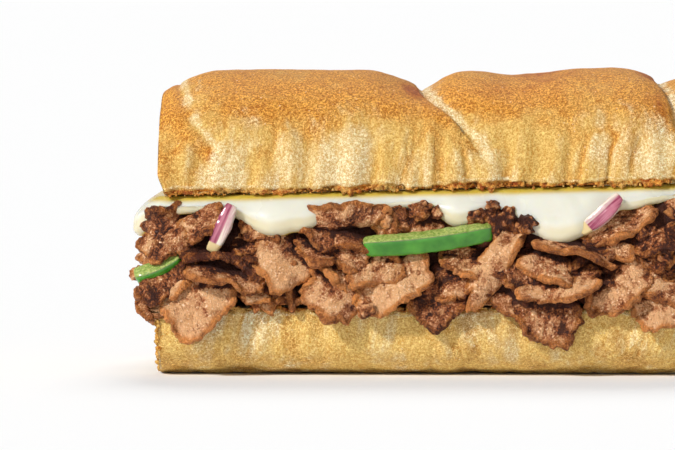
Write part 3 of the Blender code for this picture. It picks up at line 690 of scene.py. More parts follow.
def bread(name, golden, cream, brown, stain):
    """Baked crust and torn crumb. The mesh says where it is browned, with painted shade in its
    creases, pale, toasted or cut. Fine grains of deeper and paler crust cover it, and stains soak
    into its pale parts."""
    look = Finish(name, 0.2, 0.08, (0.003, 0.0014, 0.0006))
    baked, pale = look.attribute("baked"), look.attribute("pale")
    toast, crumb = look.attribute("toast"), look.attribute("crumb")
    fold = look.attribute("fold", "Vector")
    patches, stains = look.noise(75, 4, 0.6), look.noise(260, 4, 0.65)
    streaks, threads = look.noise(150, 3, 0.55, fold), look.noise(480, 3, 0.6, fold)
    coarse, fine = look.noise(1500, 3, 0.7), look.noise(3400, 2, 0.6)
    grains = (coarse * 0.55 + fine * 0.45).between(0.36, 0.64)
    browned = baked + (patches - 0.5) * 1.0 + (stains - 0.5) * 0.8 + (grains - 0.5) * 0.25
    colour = look.mix(browned.between(0.05, 0.85), golden, brown)
    colour = look.mix(browned.between(0.95, 1.45), colour, (0.54, 0.140, 0.012))
    blond = pale * 1.35 + (streaks - 0.5) * 2.4 + (threads - 0.5) * 1.4 - 0.30
    colour = look.mix((blond * pale.between(0.0, 0.3)).between(0.0, 1.1), colour, cream)
    soaked = (look.noise(60, 4, 0.6).between(0.50, 0.62) * stains.between(0.42, 0.58)).held()
    colour = look.mix(soaked * stain, colour, (0.58, 0.30, 0.065))
    flecks = look.cells(620).between(0.20, 0.05) * look.noise(300, 2).between(0.50, 0.6)
    colour = look.mix(flecks * 0.6, colour, (0.94, 0.80, 0.48))
    burnt = (toast + (look.noise(800, 3, 0.7) - 0.5) * 1.5).between(0.35, 0.9)
    singed = look.noise(620, 3, 0.7).between(0.38, 0.62)
    scorched = look.mix(singed, (0.36, 0.070, 0.008), (0.88, 0.38, 0.055))
    colour = look.mix(burnt, colour, scorched)
    pores = look.cells(520).between(0.05, 0.45)
    inside = look.mix(pores, (0.56, 0.34, 0.12), (0.80, 0.66, 0.40))
    colour = look.mix(crumb * (1.0 - burnt), colour, inside)
    shade = look.mix(grains, (0.68, 0.49, 0.26), (1.11, 1.22, 1.52))
    colour = look.tinted(1.0 - crumb * 0.5, colour, shade)
    blisters = look.noise(1700, 3, 0.75).between(0.36, 0.64)
    seared = look.mix(blisters, (0.58, 0.40, 0.19), (1.20, 1.36, 1.75))
    colour = look.tinted(browned.between(0.0, 0.7) * 0.9 + 0.1, colour, seared)
    bump = look.relief(grains, 0.00016, 1.0)
    bump = look.relief(stains, 0.0006, 0.5, bump)
    rough = 0.60 + crumb * 0.3 + (coarse - 0.5) * 0.25
    return look.done(colour, rough, bump)


def beef():
    """Moist roast beef: a paler granular face with fibres, deep red-brown rims, painted shade in
    its folds, seams and gaps, and painted glints on its highest grains."""
    look = Finish("beef", 0.35, 0.05, (0.002, 0.0008, 0.0005))
    edge, tone = look.attribute("edge"), look.attribute("tone")
    lift, own = look.attribute("lift"), look.attribute("own", "Vector")
    fibres = look.noise(1.0, 3, 0.6, look.scaled(own, (260.0, 1100.0, 400.0)), 0.5)
    patches = look.noise(230, 4, 0.6)
    lumps = look.cells(700)
    speckle = look.noise(1900, 3, 0.7)
    grains = speckle.between(0.36, 0.64)
    # painted shade: the relief and gap values take the meat down to near black in its seams, gaps
    # and inner layers
    light = (tone + (lift - 0.6) * 0.55 + (patches - 0.5) * 1.5 + (fibres - 0.5) * 0.9
             + (grains - 0.5) * 0.34 - lumps.between(0.3, 0.8) * 0.08).held()
    colour = look.mix(light.between(0.0, 0.42), (0.046, 0.009, 0.003), (0.40, 0.108, 0.027))
    colour = look.mix(light.between(0.28, 0.86), colour, (0.98, 0.53, 0.25))
    crisp = (edge * 1.0 + (speckle - 0.5) * 0.6 + (patches - 0.5) * 1.7).between(0.28, 1.0)
    seared = look.mix(light, (0.10, 0.018, 0.004), (0.76, 0.25, 0.045))
    colour = look.mix(crisp * 0.85, colour, seared)
    glaze = look.noise(330, 3, 0.6).between(0.50, 0.66)
    juice = look.mix(light, (0.10, 0.024, 0.005), (0.66, 0.265, 0.070))
    colour = look.mix(glaze * 0.45, colour, juice)
    # painted highlight: pale specks on the lighter meat
    painted_glint = speckle.between(0.58, 0.70) * light.between(0.35, 0.8) * (1.0 - crisp)
    colour = look.mix(painted_glint * 0.6, colour, (1.0, 0.86, 0.68))
    bump = look.relief(lumps, 0.0006, 0.35)
    bump = look.relief(fibres, 0.0006, 0.8, bump)
    bump = look.relief(grains, 0.00030, 1.0, bump)
    wet = patches.between(0.35, 0.65) * light.between(0.0, 0.4)
    return look.done(colour, 0.50 - wet * 0.24 + (speckle - 0.5) * 0.3, bump)


def melted_cheese():
    """Glossy white cheese, soft under its surface, yellower where its attribute says: painted shade
    along its bend under the upper bun, its inner face and its rim.
    """
    look = Finish("melted cheese", 0.5, 0.5, (0.006, 0.0045, 0.0025))
    thin = look.attribute("thin")
    clouds = look.noise(120, 3, 0.5)
    # painted shade: yellow where the upper bun shades the bend
    yellow = (thin + (clouds - 0.5) * 0.3).between(0.1, 1.0)
    colour = look.mix(yellow, (0.73, 0.71, 0.61), (0.66, 0.46, 0.06))
    bump = look.relief(look.noise(380, 2, 0.4), 0.0006, 0.25)
    return look.done(colour, 0.2 + clouds * 0.12, bump, 0.3)


def pepper():
    """Green pepper: glossy skin where the attribute is 0, wet grainy flesh where it is 1."""
    look = Finish("green pepper", 0.5, 0.12, (0.001, 0.002, 0.0005), Coat_Roughness=0.1)
    flesh, rim = look.attribute("flesh"), look.attribute("rim")
    grains = look.noise(1500, 3, 0.7).between(0.38, 0.62)
    clouds = look.noise(160, 3)
    skin = look.mix(clouds.between(0.3, 0.7), (0.034, 0.21, 0.012), (0.085, 0.36, 0.028))
    wet = look.mix(grains, (0.18, 0.29, 0.03), (0.48, 0.55, 0.15))
    colour = look.mix(flesh, skin, wet)
    colour = look.mix((rim * (0.6 + grains * 0.8)).held(), colour, (0.13, 0.16, 0.06))
    bump = look.relief(grains * flesh + clouds * 0.4, 0.0002, 0.6)
    return look.done(colour, 0.24 + flesh * 0.14, bump, 0.4)


def onion():
    """Red onion: purple skin face where the attribute is 0, pale layers where it is 1."""
    look = Finish("red onion", 0.5, 0.25, (0.002, 0.0012, 0.0012), Coat_Roughness=0.12)
    flesh, tip = look.attribute("flesh"), look.attribute("tip")
    own = look.scaled(look.attribute("own", "Vector"), (90.0, 1400.0, 300.0))
    lines = look.noise(1.0, 2, 0.5, own)
    clouds = look.noise(240, 3)
    skin = look.mix(lines.between(0.3, 0.7), (0.23, 0.020, 0.065), (0.52, 0.17, 0.23))
    layers = look.mix(lines.between(0.35, 0.65), (0.80, 0.70, 0.58), (0.56, 0.34, 0.34))
    colour = look.mix((flesh + (clouds - 0.5) * 0.3).between(0.3, 0.8), skin, layers)
    colour = look.mix((tip + (clouds - 0.5) * 0.4).between(0.45, 0.8), colour, (0.66, 0.50, 0.24))
    bump = look.relief(lines, 0.0003, 0.4)
    return look.done(colour, 0.26, bump, 0.3)


def cut_end_rings(ring, count):
    """Rings from the middle of the cut end out to the first ring, all in one upright plane."""
    middle = np.array([CUT_END, 0.0, (ring[:, 2].min() + ring[:, 2].max()) / 2])
    shares = np.sin(np.linspace(0.02, 1, count, endpoint=False) * np.pi / 2)
    return middle + (ring - middle) * shares[:, None, None]


def leaning(rings):
    """Places for folds that run upright and lean a little to one side or the other."""
    lean = noise(rings * (1, 1, 0), LEAN_SIZE, 77) * LEAN
    lifted = rings[..., 2] - rings[..., 2].min()
    return np.stack([rings[..., 0] + lean * lifted, rings[..., 1], rings[..., 2] * 0.16], -1)


def bread_values(rings, crust, height, past_scores, crease):
    """How far each point is browned, with painted shade in the creases, and how much room it gives
    pale streaks, from its place on the loaf. The creases are drawn browner and kept free of pale
    streaks as painted shade, so the bulges between them are paler. Slashes are torn pale, fading
    towards the heel, with a browned lip before them."""
    side = smooth((0.90 - height) / 0.62)
    inward = smooth((rings[..., 0] - CUT_END - 0.001) / 0.016)
    baked = 0.85 * smooth((height - 0.36) / 0.56) * (0.55 + 0.45 * inward)
    baked = baked + 0.10 + 0.22 * (1 - inward)
    # painted shade: the creases are drawn browner here and kept free of pale streaks below
    baked = baked + 0.25 * fractal(rings, 0.018, 41, 3) + 0.35 * crease * side
    pale = side * (0.25 + 0.75 * inward) * (1 - crease)
    pale = pale * (0.62 + 0.45 * fractal(rings, 0.016, 51, 2))
    (torn_place, torn_width), (lip_place, lip_width) = SLASH_TORN, SLASH_LIP
    deepest = max(score[1] for score in SCORES)
    for past, depth in past_scores:
        reach = 0.8 + 0.2 * depth / deepest
        torn = np.exp(-(((past - torn_place) / torn_width) ** 2)) * (past > -0.0010)
        faded = 0.7 * np.exp(-past / SLASH_FADE) * (past > 0.0008)
        torn = np.maximum(torn, faded) * smooth((height - 0.10) / 0.2)
        torn = torn * smooth(1.05 + 0.7 * fractal(rings, 0.004, 57, 2))
        lip = np.exp(-(((past + lip_place) / lip_width) ** 2)) * smooth((height - 0.18) / 0.3)
        lip = lip * (0.4 + 0.6 * inward) * (0.5 + 0.9 * noise(rings, 0.011, 58))
        pale = np.maximum(pale, torn * reach)
        baked = baked + 0.75 * lip * reach - 0.5 * torn
    return np.clip(baked, 0, 1.4) * crust, np.clip(pale, 0, 1) * crust


def pored(points, size, seed):
    """Depth from 0 to 1 of the holes in torn bread: the peaks of noise at two sizes."""
    large = smooth((fractal(points, size, seed, 2) - 0.15) / 0.5)
    small = smooth((fractal(points, size * 0.4, seed + 7, 2) - 0.1) / 0.5)
    return np.maximum(large, small * 0.55)


def bread_surface(rings, crust, height, past_scores, seed, edge, folded):
    """Relief over a bun, along its normals: folds and dimples in the crust, holes in the cut
    faces, and a torn band set back a little along the cut edge, as high as its wander says.
    Returns the rings and their point values."""
    normals = normals_of(rings)
    half = len(rings) // 2
    if (normals[half] * (rings[half] - rings[half].mean(0))).sum() < 0:
        normals = -normals
    line = rings * (1, 1, 0)
    wander = noise(line, 0.010, seed) + 0.5 * fractal(line, 0.0028, seed + 1, 2)
    limit = TORN_BAND[0] + TORN_BAND[1] * wander
    rise = np.abs(rings[..., 2] - edge(rings[..., 0]))
    band = smooth((limit - rise) / 0.0005) * crust
    lip = np.exp(-(((rise - limit - 0.0005) / 0.0005) ** 2)) * crust
    side = smooth((0.85 - height) / 0.5)
    folds = leaning(rings)
    folds = folds + 0.0008 * noise(rings, 0.0060, seed + 21)[..., None]
    bulge = np.abs(fractal(folds, PLEAT_SIZE, seed, 2))
    crease = (1 - smooth(bulge / CREASE_WIDTH)) * side
    crease = crease * (0.55 + 0.45 * noise(folds, 0.012, seed + 23))
    swell = (bulge - 0.3) * 0.8 - 0.45 * crease + 0.12 * fractal(folds, 0.0030, seed + 2, 2)
    inward = smooth((rings[..., 0] - CUT_END) / 0.010)
    relief = swell * PLEAT_DEPTH * folded * side * inward * crust
    for past, _ in past_scores:
        groove = np.exp(-(((past + 0.0004) / SLASH_GROOVE) ** 2)) * smooth((height - 0.12) / 0.2)
        relief -= groove * SLASH_GROOVE * crust * (0.8 + 0.5 * noise(rings, 0.006, seed + 25))
    relief += fractal(rings, 0.0075, seed + 3, 4) * DIMPLE_DEPTH * crust
    relief += (fractal(rings, 0.0011, seed + 5, 3, 0.7) * TORN_DEPTH - 0.0003) * band
    relief += lip * 0.00015
    relief -= pored(rings, 0.0042, seed + 9) * PORE_DEPTH * (1 - crust)
    baked, pale = bread_values(rings, crust, height, past_scores, crease)
    toast = band * (0.75 + 0.35 * fractal(rings, 0.006, seed + 11, 2))
    pale = np.maximum(pale * folded**0.35, 0.7 * lip) * (1 - band)
    values = {"baked": baked, "pale": pale, "toast": toast, "crumb": 1 - crust}
    return rings + normals * relief[..., None], values


def upper_bun(material):
    """The upper bun's rings: from the front edge over the crest to the rear edge, and back along
    the cut face; a superellipse section, dropped at the slashes."""
    count, over, under = UPPER_GRID
    x0 = stations(count)
    arc = section_arc(over, UPPER_POWER, 24, 0.20)
    lead = np.cos(arc)
    x = x0 + shear(x0, lead)
    width = half_width(x)
    share = width / (LOAF_WIDTH / 2)
    height = np.sin(arc) ** (2 / UPPER_POWER) * np.ones_like(x)
    drop = score_drop(x, lead, height)
    cut = upper_cut(x)
    scale = 1 - drop / (CREST - cut)
    side = -signed_power(lead, 2 / UPPER_POWER)
    y = side * (width * (1 - 0.4 * (1 - scale)) + 0.6 * wrinkles(x, height, 1.0) * share)
    z = cut + (CREST - cut) * share**0.8 * height * scale
    crust = np.stack([x, y, z], -1)
    crust[..., 2] += crest_offset(x) * height * share
    across = np.linspace(1, -1, under + 2)[None, 1:-1]
    under_x = x0 + shear(x0, -across)
    face = np.stack([under_x, across * half_width(under_x), upper_cut(under_x)], -1)
    rings = np.concatenate([crust, face], 1)
    tucked = smooth(1 - (rings[..., 2] - upper_cut(rings[..., 0])) / TUCK_HEIGHT)
    rings[..., 0] += TUCK * tucked * smooth(1 - (rings[..., 0] - CUT_END) / 0.012)
    past = [(np.concatenate([distance, np.full_like(under_x, FAR)], 1), depth)
            for distance, depth in score_places(x, lead, height)]
    height = np.concatenate([height, np.zeros_like(under_x)], 1)
    finish_bun("bun_upper", rings, arc.size, height, past, 3, upper_cut, 1.0, material, "crust")


def lower_bun(material):
    """The lower bun's rings: from the front edge round the flat foot to the rear edge, and back
    along the cut face."""
    count, below, above = LOWER_GRID
    x0 = stations(count)
    arc = section_arc(below, LOWER_POWER, 18, 0.32)
    x = x0 + 0 * arc
    width = half_width(x)
    share = width / (LOAF_WIDTH / 2)
    depth = np.sin(arc) ** (2 / LOWER_POWER) * np.ones_like(x)
    side = -signed_power(np.cos(arc), 2 / LOWER_POWER)
    y = side * (width + 0.4 * wrinkles(x, depth, 4.0) * share)
    z = np.maximum(LOWER_CUT - (LOWER_CUT + LOWER_SINK) * share**0.7 * depth, 0)
    crust = np.stack([x, y, z], -1)
    across = np.linspace(1, -1, above + 2)[None, 1:-1]
    face = np.stack([x0 + 0 * across, across * half_width(x0), LOWER_CUT + 0 * (x0 + across)], -1)
    rings = np.concatenate([crust, face], 1)
    height = np.concatenate([0.25 * depth, np.zeros_like(face[..., 0])], 1)
    finish_bun("bun_lower", rings, arc.size, height, [], 60, lower_cut, 0.4, material, "pale_crust")


def finish_bun(node, rings, crust_points, height, past, seed, edge, folded, material, slot):
    """Adds the cut end and the relief to a bun's rings, and makes the piece that stands for that
    node. edge gives the height of its cut, and folded is how deep its folds are."""
    cap = cut_end_rings(rings[0], CAP_RINGS)
    crust = np.zeros(rings.shape[:2])
    crust[:, :crust_points] = 1.0
    blank = np.zeros((CAP_RINGS, rings.shape[1]))
    rings = np.concatenate([cap, rings])
    crust = np.concatenate([blank, crust])
    height = np.concatenate([blank, height])
    past = [(np.concatenate([blank + FAR, distance]), depth) for distance, depth in past]
    rings, values = bread_surface(rings, crust, height, past, seed, edge, folded)
    rings[..., 2] = np.maximum(rings[..., 2], 0)
    vectors = {"fold": leaning(rings)}
    ring_piece(node + "_bread", rings, values, vectors, material, slot, node)


def beyond_outline(xy, outline):
    """Distance of each point outside the outline, negative inside, the outward direction, and
    which point of the outline is nearest."""
    points, normals = outline
    nearest = ((xy[:, None] - points[None]) ** 2).sum(-1).argmin(1)
    outward = normals[nearest]
    return ((xy - points[nearest]) * outward).sum(-1), outward, nearest


def clear_of_bun(points, cut, free_side, clearance, outline):
    """Pushes points out of a bun: away from its cut face, out past its side, or round its edge,
    along lines that start from a point within the bun near its edge."""
    inner = BUN_EDGE
    beyond, outward, _ = beyond_outline(points[:, :2], outline)
    level = (points[:, 2] - cut) * free_side
    across, rise = beyond + inner, level + inner
    reach = np.hypot(across, rise)
    angle = np.arctan2(rise, across)
    limit = (clearance + inner) / np.maximum(np.cos(angle), np.sin(angle)).clip(0.5)
    share = np.where(reach < limit, limit / np.maximum(reach, 1e-6), 1)
    edge = (across > 0) & (rise > 0)
    new_across = np.where(edge, across * share, across)
    new_rise = np.where(edge, rise * share, rise)
    new_rise = np.where(~edge & (across <= 0), np.maximum(rise, inner + clearance), new_rise)
    new_across = np.where(~edge & (rise <= 0), np.maximum(across, inner + clearance), new_across)
    moved = points.copy()
    moved[:, :2] += outward * (new_across - across)[:, None]
    moved[:, 2] = cut + (new_rise - inner) * free_side
    return moved


def slice_outline(angle, seed):
    """Uneven edge of a slice: its reach in each direction, about 1."""
    draw = np.random.default_rng(seed)
    reach = np.ones_like(angle)
    for turns, depth in ((2, 0.10), (3, 0.09), (4, 0.06), (5, 0.05)):
        reach += depth * draw.uniform(0.4, 1) * np.sin(turns * angle + draw.uniform(0, 2 * np.pi))
    return reach


def ragged(angle, seed):
    """Torn edge of a slice: quick sines and a few notches, as a factor of about 1."""
    draw = np.random.default_rng(seed + 900)
    reach = np.ones_like(angle)
    for turns in (5, 7, 11, 17, 23, 31):
        depth = 0.030 * (7 / turns) ** 0.7 * draw.uniform(0.4, 1.3)
        reach += depth * np.sin(turns * angle + draw.uniform(0, 2 * np.pi))
    for _ in range(3):
        place, width = draw.uniform(0, 2 * np.pi), draw.uniform(0.07, 0.16)
        away = np.abs((angle - place + np.pi) % (2 * np.pi) - np.pi)
        reach -= draw.uniform(0.08, 0.26) * np.exp(-((away / width) ** 1.6))
    return reach


def laid(surface, centre, outward, roll, lean):
    """Turns a surface from its own X, Y and Z to the heap: Y upright and Z along outward, rolled in
    its own plane, then leant back so that it faces upwards."""
    along = np.array([-outward[1], outward[0], 0.0])
    out = np.array([outward[0], outward[1], 0.0])
    up = np.array([0.0, 0.0, 1.0])
    first = np.cos(roll) * along + np.sin(roll) * up
    rising = -np.sin(roll) * along + np.cos(roll) * up
    second = np.cos(lean) * rising - np.sin(lean) * out
    facing = np.cos(lean) * out + np.sin(lean) * rising
    return centre + surface @ np.stack([first, second, facing])


def slice_middle(size, sag, seed, grid):
    """Middle surface of a slice, on rings from its middle to its torn edge. The height is its
    ruffle and crumple, less its sags along both axes."""
    around, rings = grid
    angle = np.linspace(0, 2 * np.pi, around, endpoint=False)[None]
    share = np.linspace(0, 1, rings + 1)[:, None] ** 0.85
    share[0] = 0.04
    square = np.abs(np.cos(angle)) ** SLICE_POWER + np.abs(np.sin(angle)) ** SLICE_POWER
    square = 0.96 * square ** (-1 / SLICE_POWER)
    wavy = 1 + (ragged(angle, seed) - 1) * share**2
    reach = square * slice_outline(angle, seed) * wavy * share
    a, b = reach * np.cos(angle), reach * np.sin(angle)
    phase = np.random.default_rng(seed + 500).uniform(0, 2 * np.pi)
    height = SLICE_RUFFLE * np.sin(3 * angle + phase) * share**2 - sag[0] * a * a - sag[1] * b * b
    flat = np.stack([a * size[0] / 2, b * size[1] / 2, 0 * a + seed * 0.013], -1)
    folds = 0.6 - np.abs(noise(flat, 0.0090, seed)) * 1.6
    curl = noise(flat, 0.0042, seed + 5) * share**3
    flat[..., 2] = height + SLICE_FOLD * folds * (0.5 + 0.5 * share) + SLICE_CURL * curl
    return flat, share


def beef_slice(centre, outward, size, roll, lean, sag, seed, outline, tone, grid):
    """One slice: its middle surface is laid on the heap clear of the buns, then each side stands
    off along the normal with fibres and lumps, round a rough edge. Returns shape and values."""
    own, share = slice_middle(size, sag, seed, grid)
    middle = laid(own, centre, outward, roll, lean)
    flat = middle.reshape(-1, 3)
    clearance = SLICE_THICKNESS / 2 + CLEARANCE
    flat = clear_of_bun(flat, LOWER_CUT, 1, clearance, outline)
    flat = clear_of_bun(flat, upper_cut(flat[:, 0]), -1, clearance, outline)
    beyond, _, _ = beyond_outline(flat[:, :2], outline)
    covered = smooth((-COVER_INSET / 2 - beyond) / COVER_INSET)
    ceiling = upper_cut(flat[:, 0]) - covered * CORE_BELOW - SLICE_THICKNESS / 2
    flat[:, 2] = np.minimum(flat[:, 2], ceiling)
    middle = flat.reshape(middle.shape)
    normal = normals_of(middle)
    turn = np.random.default_rng(seed + 700).uniform(0, np.pi)
    grain = np.stack([own[..., 0] * np.cos(turn) + own[..., 1] * np.sin(turn),
                      own[..., 1] * np.cos(turn) - own[..., 0] * np.sin(turn),
                      np.full(own.shape[:2], seed * 0.031)], -1)
    half = SLICE_THICKNESS / 2 * (0.85 + 0.35 * noise(grain, 0.006, seed))
    seams = smooth(bundles(grain * (0.62, 1.0, 1.0), BUNDLE_SIZE, seed) / 0.32)
    bumps = fractal(grain, 0.0030, seed + 2, 4, 0.6)
    relief = (seams - 0.6) * BUNDLE_DEPTH + bumps * LUMP_DEPTH
    top = middle + normal * (half + relief)[..., None]
    bottom = middle - normal * (half + relief)[..., None]
    edge_out = middle[-1] - middle[-2]
    edge_out /= np.linalg.norm(edge_out, axis=-1, keepdims=True)
    swings = np.radians((22, 45, 68, 90, 112, 135, 158))[:, None, None]
    stand = half[-1][:, None] * (edge_out * np.sin(swings) + normal[-1] * np.cos(swings))
    rough = 1 + 0.5 * fractal(middle[-1] + stand, RIM_SIZE, seed + 3, 4, 0.7)
    rim = middle[-1] + stand * rough[..., None]
    rings = np.concatenate([top, rim, bottom[::-2]])
    count = len(rim)
    grains = np.concatenate([grain, np.repeat(grain[-1:], count, 0), grain[::-2]])
    nearness = np.clip((share * np.ones(own.shape[:2]) - 0.72) / 0.28, 0, 1) ** 1.5
    edges = np.concatenate([nearness, np.ones((count, own.shape[1])), nearness[::-2]])
    # painted shade: the meat is drawn darker where its relief lies low, in seams and hollows
    lift = np.clip(seams * 0.25 + bumps * 0.45 + 0.45, 0, 1)
    relief_shades = np.concatenate([lift, np.clip(0.5 + rough - 1, 0, 1), lift[::-2]])
    shape = closed(rings)
    values = {"edge": ring_values(edges), "lift": ring_values(relief_shades),
              "tone": np.full(len(shape[0]), tone), "own": ring_values(grains)}
    return shape, values


def at_side(from_end, side, height, out):
    """Middle of a slice or strip that lies on one side of the heap, and the way it faces."""
    x = CUT_END + from_end
    y = side * (half_width(np.maximum(x, CUT_END)) + out)
    return np.array([x, y, height]), np.array([0.0, float(side)])


def heap_rows():
    """Place, direction, size, turns, sag, seed and tone of every large slice, front ones first."""
    outline = plan_outline(360)
    tones = np.random.default_rng(5)
    for seed, row in enumerate(FRONT_SLICES):
        from_end, height, out, length, width = (value * MM for value in row[:5])
        roll, lean = np.radians(row[5:7])
        centre, outward = at_side(from_end, -1, height, out)
        sag = row[7] * MM, row[8] * MM
        yield centre, outward, (length, width), roll, lean, sag, seed, outline, row[9]
    for rows, span, draw_seed, first_seed in RULED_ROWS:
        draw = np.random.default_rng(draw_seed)
        yield from ruled_rows(rows, span, draw, first_seed, outline, tones)


def ruled_rows(rows, span, draw, first_seed, outline, tones):
    """Slices set out along part of the outline, evenly but for seeded shifts, sizes and turns."""
    points, normals = outline
    for level, (height, count) in enumerate(rows):
        for number in range(count):
            share = (number + 0.5 + 0.25 * draw.uniform(-1, 1)) / count
            spot = int(len(points) * np.interp(share, (0, 1), span))
            outward = normals[spot]
            out = draw.uniform(*REAR_OUT)
            centre = np.append(points[spot] + outward * out, height + draw.uniform(-2, 2) * MM)
            size = draw.uniform(*REAR_LENGTH), draw.uniform(*REAR_WIDTH)
            roll, lean = (np.radians(draw.uniform(*turn)) for turn in REAR_TURN)
            sag = draw.uniform(*REAR_SAG, 2)
            seed = first_seed + level * 30 + number
            yield centre, outward, size, roll, lean, sag, seed, outline, tones.uniform(0.2, 0.85)


def shred_rows():
    """Small shreds strewn over the heap between the slices, denser along the front."""
    outline = plan_outline(360)
    points, normals = outline
    draw = np.random.default_rng(SHRED_SEED)
    for number in range(SHREDS_FRONT + SHREDS_REAR):
        span = (0.0, 0.31) if number < SHREDS_FRONT else (0.31, 1.0)
        spot = int(len(points) * draw.uniform(*span)) % len(points)
        outward = normals[spot]
        near_end = points[spot][0] < CUT_END + 0.012
        top = 33.0 if near_end or drip_share(points[spot])[0] > 0.1 else 42.0
        centre = np.append(points[spot] + outward * draw.uniform(-1.2, 1.4) * MM,
                           draw.uniform(19.5, top) * MM)
        size = draw.uniform(6.0, 12.0) * MM, draw.uniform(3.0, 5.5) * MM
        roll, lean = np.radians((draw.uniform(-75, 75), draw.uniform(-25, 65)))
        sag = draw.uniform(-0.8, 1.0, 2) * MM
        tone = draw.uniform(0.15, 0.9)
        yield centre, outward, size, roll, lean, sag, 1000 + number, outline, tone


def slices(rows, grid):
    """Several slices as one shape with its values."""
    return joined(beef_slice(*row, grid) for row in rows)


def unrolled(points, outline):
    """The cell of each point on the heap's face, unrolled along the outline and upwards, and how
    far outside the outline the point stands."""
    beyond, _, nearest = beyond_outline(points[:, :2], outline)
    level = np.clip(points[:, 2] / FACE_CELL, 0, FACE_GRID[1] - 1).astype(int)
    return nearest, level, beyond


def beef_pieces(groups, material):
    """Makes the pieces of the heap. Each point darkens by how far it lies behind the outermost
    meat within a few cells of it, and by how far it lies inside the outline: painted shade in
    the gaps between slices and in the heap's inner layers. The gap shade fades out at the
    corners of the cut end."""
    outline = plan_outline(FACE_GRID[0])
    cells = {name: unrolled(shape[0], outline) for name, (shape, _) in groups.items()}
    face = np.full(FACE_GRID, -0.004)
    for spot, level, beyond in cells.values():
        np.maximum.at(face, (spot, level), beyond)
    steps = [(a, b) for a in (-2, 0, 2) for b in (-1, 1, 3)]
    around = np.mean([np.roll(face, step, (0, 1)) for step in steps], axis=0)
    for name, (shape, values) in groups.items():
        spot, level, beyond = cells[name]
        corner = np.hypot(shape[0][:, 0] - CUT_END, np.abs(shape[0][:, 1]) - LOAF_WIDTH / 2)
        # painted shade: darker behind the neighbouring meat and inside the outline
        painted_gap_shade = smooth((around[spot, level] - beyond - 0.0004) / DEEP_FALL)
        painted_gap_shade = painted_gap_shade * smooth(corner / CORNER_CALM - 0.3)
        painted_depth_shade = smooth((0.0010 - beyond) / 0.0040)
        values["tone"] = values["tone"] + 0.04 - 0.90 * np.maximum(painted_gap_shade, painted_depth_shade)
        vectors = {"own": values.pop("own")}
        piece(name, shape, values, vectors, material, "beef", "beef")


def blob(centre, size, seed, grid):
    """A crisp lump: a sphere on a grid of rings, pushed in and out by noise."""
    around, rings = grid
    turn = np.linspace(0, 2 * np.pi, around, endpoint=False)[None]
    tilt = np.linspace(0, np.pi, rings + 2)[1:-1, None]
    ball = np.stack([np.sin(tilt) * np.cos(turn), np.sin(tilt) * np.sin(turn),
                     np.cos(tilt) + 0 * turn], -1)
    stretch = np.random.default_rng(seed).uniform(0.7, 1.15, 3)
    push = 1 + 0.40 * fractal(ball, 0.85, seed, 3, 0.5)
    return centre + ball * push[..., None] * stretch * size / 2


def lumps():
    """The crisp lumps that sit on the front of the heap."""
    shapes = []
    for seed, (from_end, height, out, size, tone) in enumerate(LUMPS):
        centre = np.array([CUT_END + from_end * MM, (0.25 * size - out) * MM - LOAF_WIDTH / 2,
                           height * MM])
        rings = blob(centre, size * MM, 300 + seed, LUMP_GRID)
        knobs = smooth(bundles(rings, 0.0022, seed) / 0.6)
        rings = centre + (rings - centre) * (0.92 + 0.12 * knobs[..., None])
        flat = ring_values(rings)
        shapes.append((closed(rings), {"edge": 0.55 + 0.3 * fractal(flat, 0.002, seed, 2),
                                       "lift": ring_values(knobs), "tone": np.full(len(flat), tone),
                                       "own": flat}))
    return joined(shapes)


def beef_core(material):
    """The mass behind the slices, drawn dark as painted shade between them: the heap's rounded
    bar, lumpy with noise.
    """
    count, around = CORE_GRID
    along = stations(count)
    arc = np.linspace(0, 2 * np.pi, around, endpoint=False)[None]
    x = along * (1 + CORE_BULGE / HEEL_TIP) + 0 * arc
    reach = half_width(along) + CORE_BULGE * 0.4
    low, high = LOWER_CUT + CLEARANCE, upper_cut(along) - CORE_BELOW
    middle, rise = (low + high) / 2, (high - low) / 2
    level = signed_power(np.sin(arc), 0.5)
    y = reach * signed_power(np.cos(arc), 0.5)
    z = middle + rise * level * (reach / reach.max()) ** 0.25
    rings = np.stack([x, y, z], -1)
    rings = np.concatenate([rings[:1] * (1, 0.05, 0) + [0, 0, middle[0, 0]],
                            rings[:1] * (1, 0.5, 0.5) + [0, 0, middle[0, 0] / 2], rings])
    outward = rings - np.stack([0 * rings[..., 0] + rings[..., 0] * 0.97, 0 * rings[..., 1],
                                np.full(rings.shape[:2], middle.mean())], -1)
    outward /= np.linalg.norm(outward, axis=-1, keepdims=True)
    relief = fractal(rings, 0.0052, 12, 3) * 0.0013 - 0.0006
    side = np.abs(level) < 0.96
    side = np.concatenate([np.zeros((2, arc.size)), side * np.ones_like(along)])
    rings = rings + outward * (relief * side)[..., None]
    flat = ring_values(rings)
    # painted shade: a tone below any slice's
    values = {"edge": np.zeros(len(flat)), "lift": np.full(len(flat), 0.3),
              "tone": -0.35 + 0.15 * fractal(flat, 0.006, 4, 2)}
    piece("beef_core", closed(rings), values, {"own": flat}, material, "beef", "beef")


def drip_share(point):
    """How much of a drip there is at a place on the outline, and how long it is."""
    shares = [np.exp(-(np.abs((point[..., 0] - CUT_END - place) / half) ** 2.4))
              * (np.sign(point[..., 1]) == side) for place, side, half, _ in DRIPS]
    lengths = [share * drip[3] for share, drip in zip(shares, DRIPS)]
    return np.max(shares, axis=0), np.sum(lengths, axis=0)


def cheese_hang(points):
    """How far the cheese hangs at each point of its outline, from its bend to its rim."""
    from_end = points[:, 0] - CUT_END
    hang = CHEESE_HANG + 0.0008 * waves(np.c_[points, points[:, 0]], 0.02, 21)
    inside = LOAF_WIDTH / 2 - CHEESE_INSET - np.abs(points[:, 1])
    near_end = smooth((0.012 - from_end) / 0.012)
    hang += (END_HANG - CHEESE_HANG) * near_end * smooth(inside / END_ROUNDING)
    return hang + drip_share(points)[1]


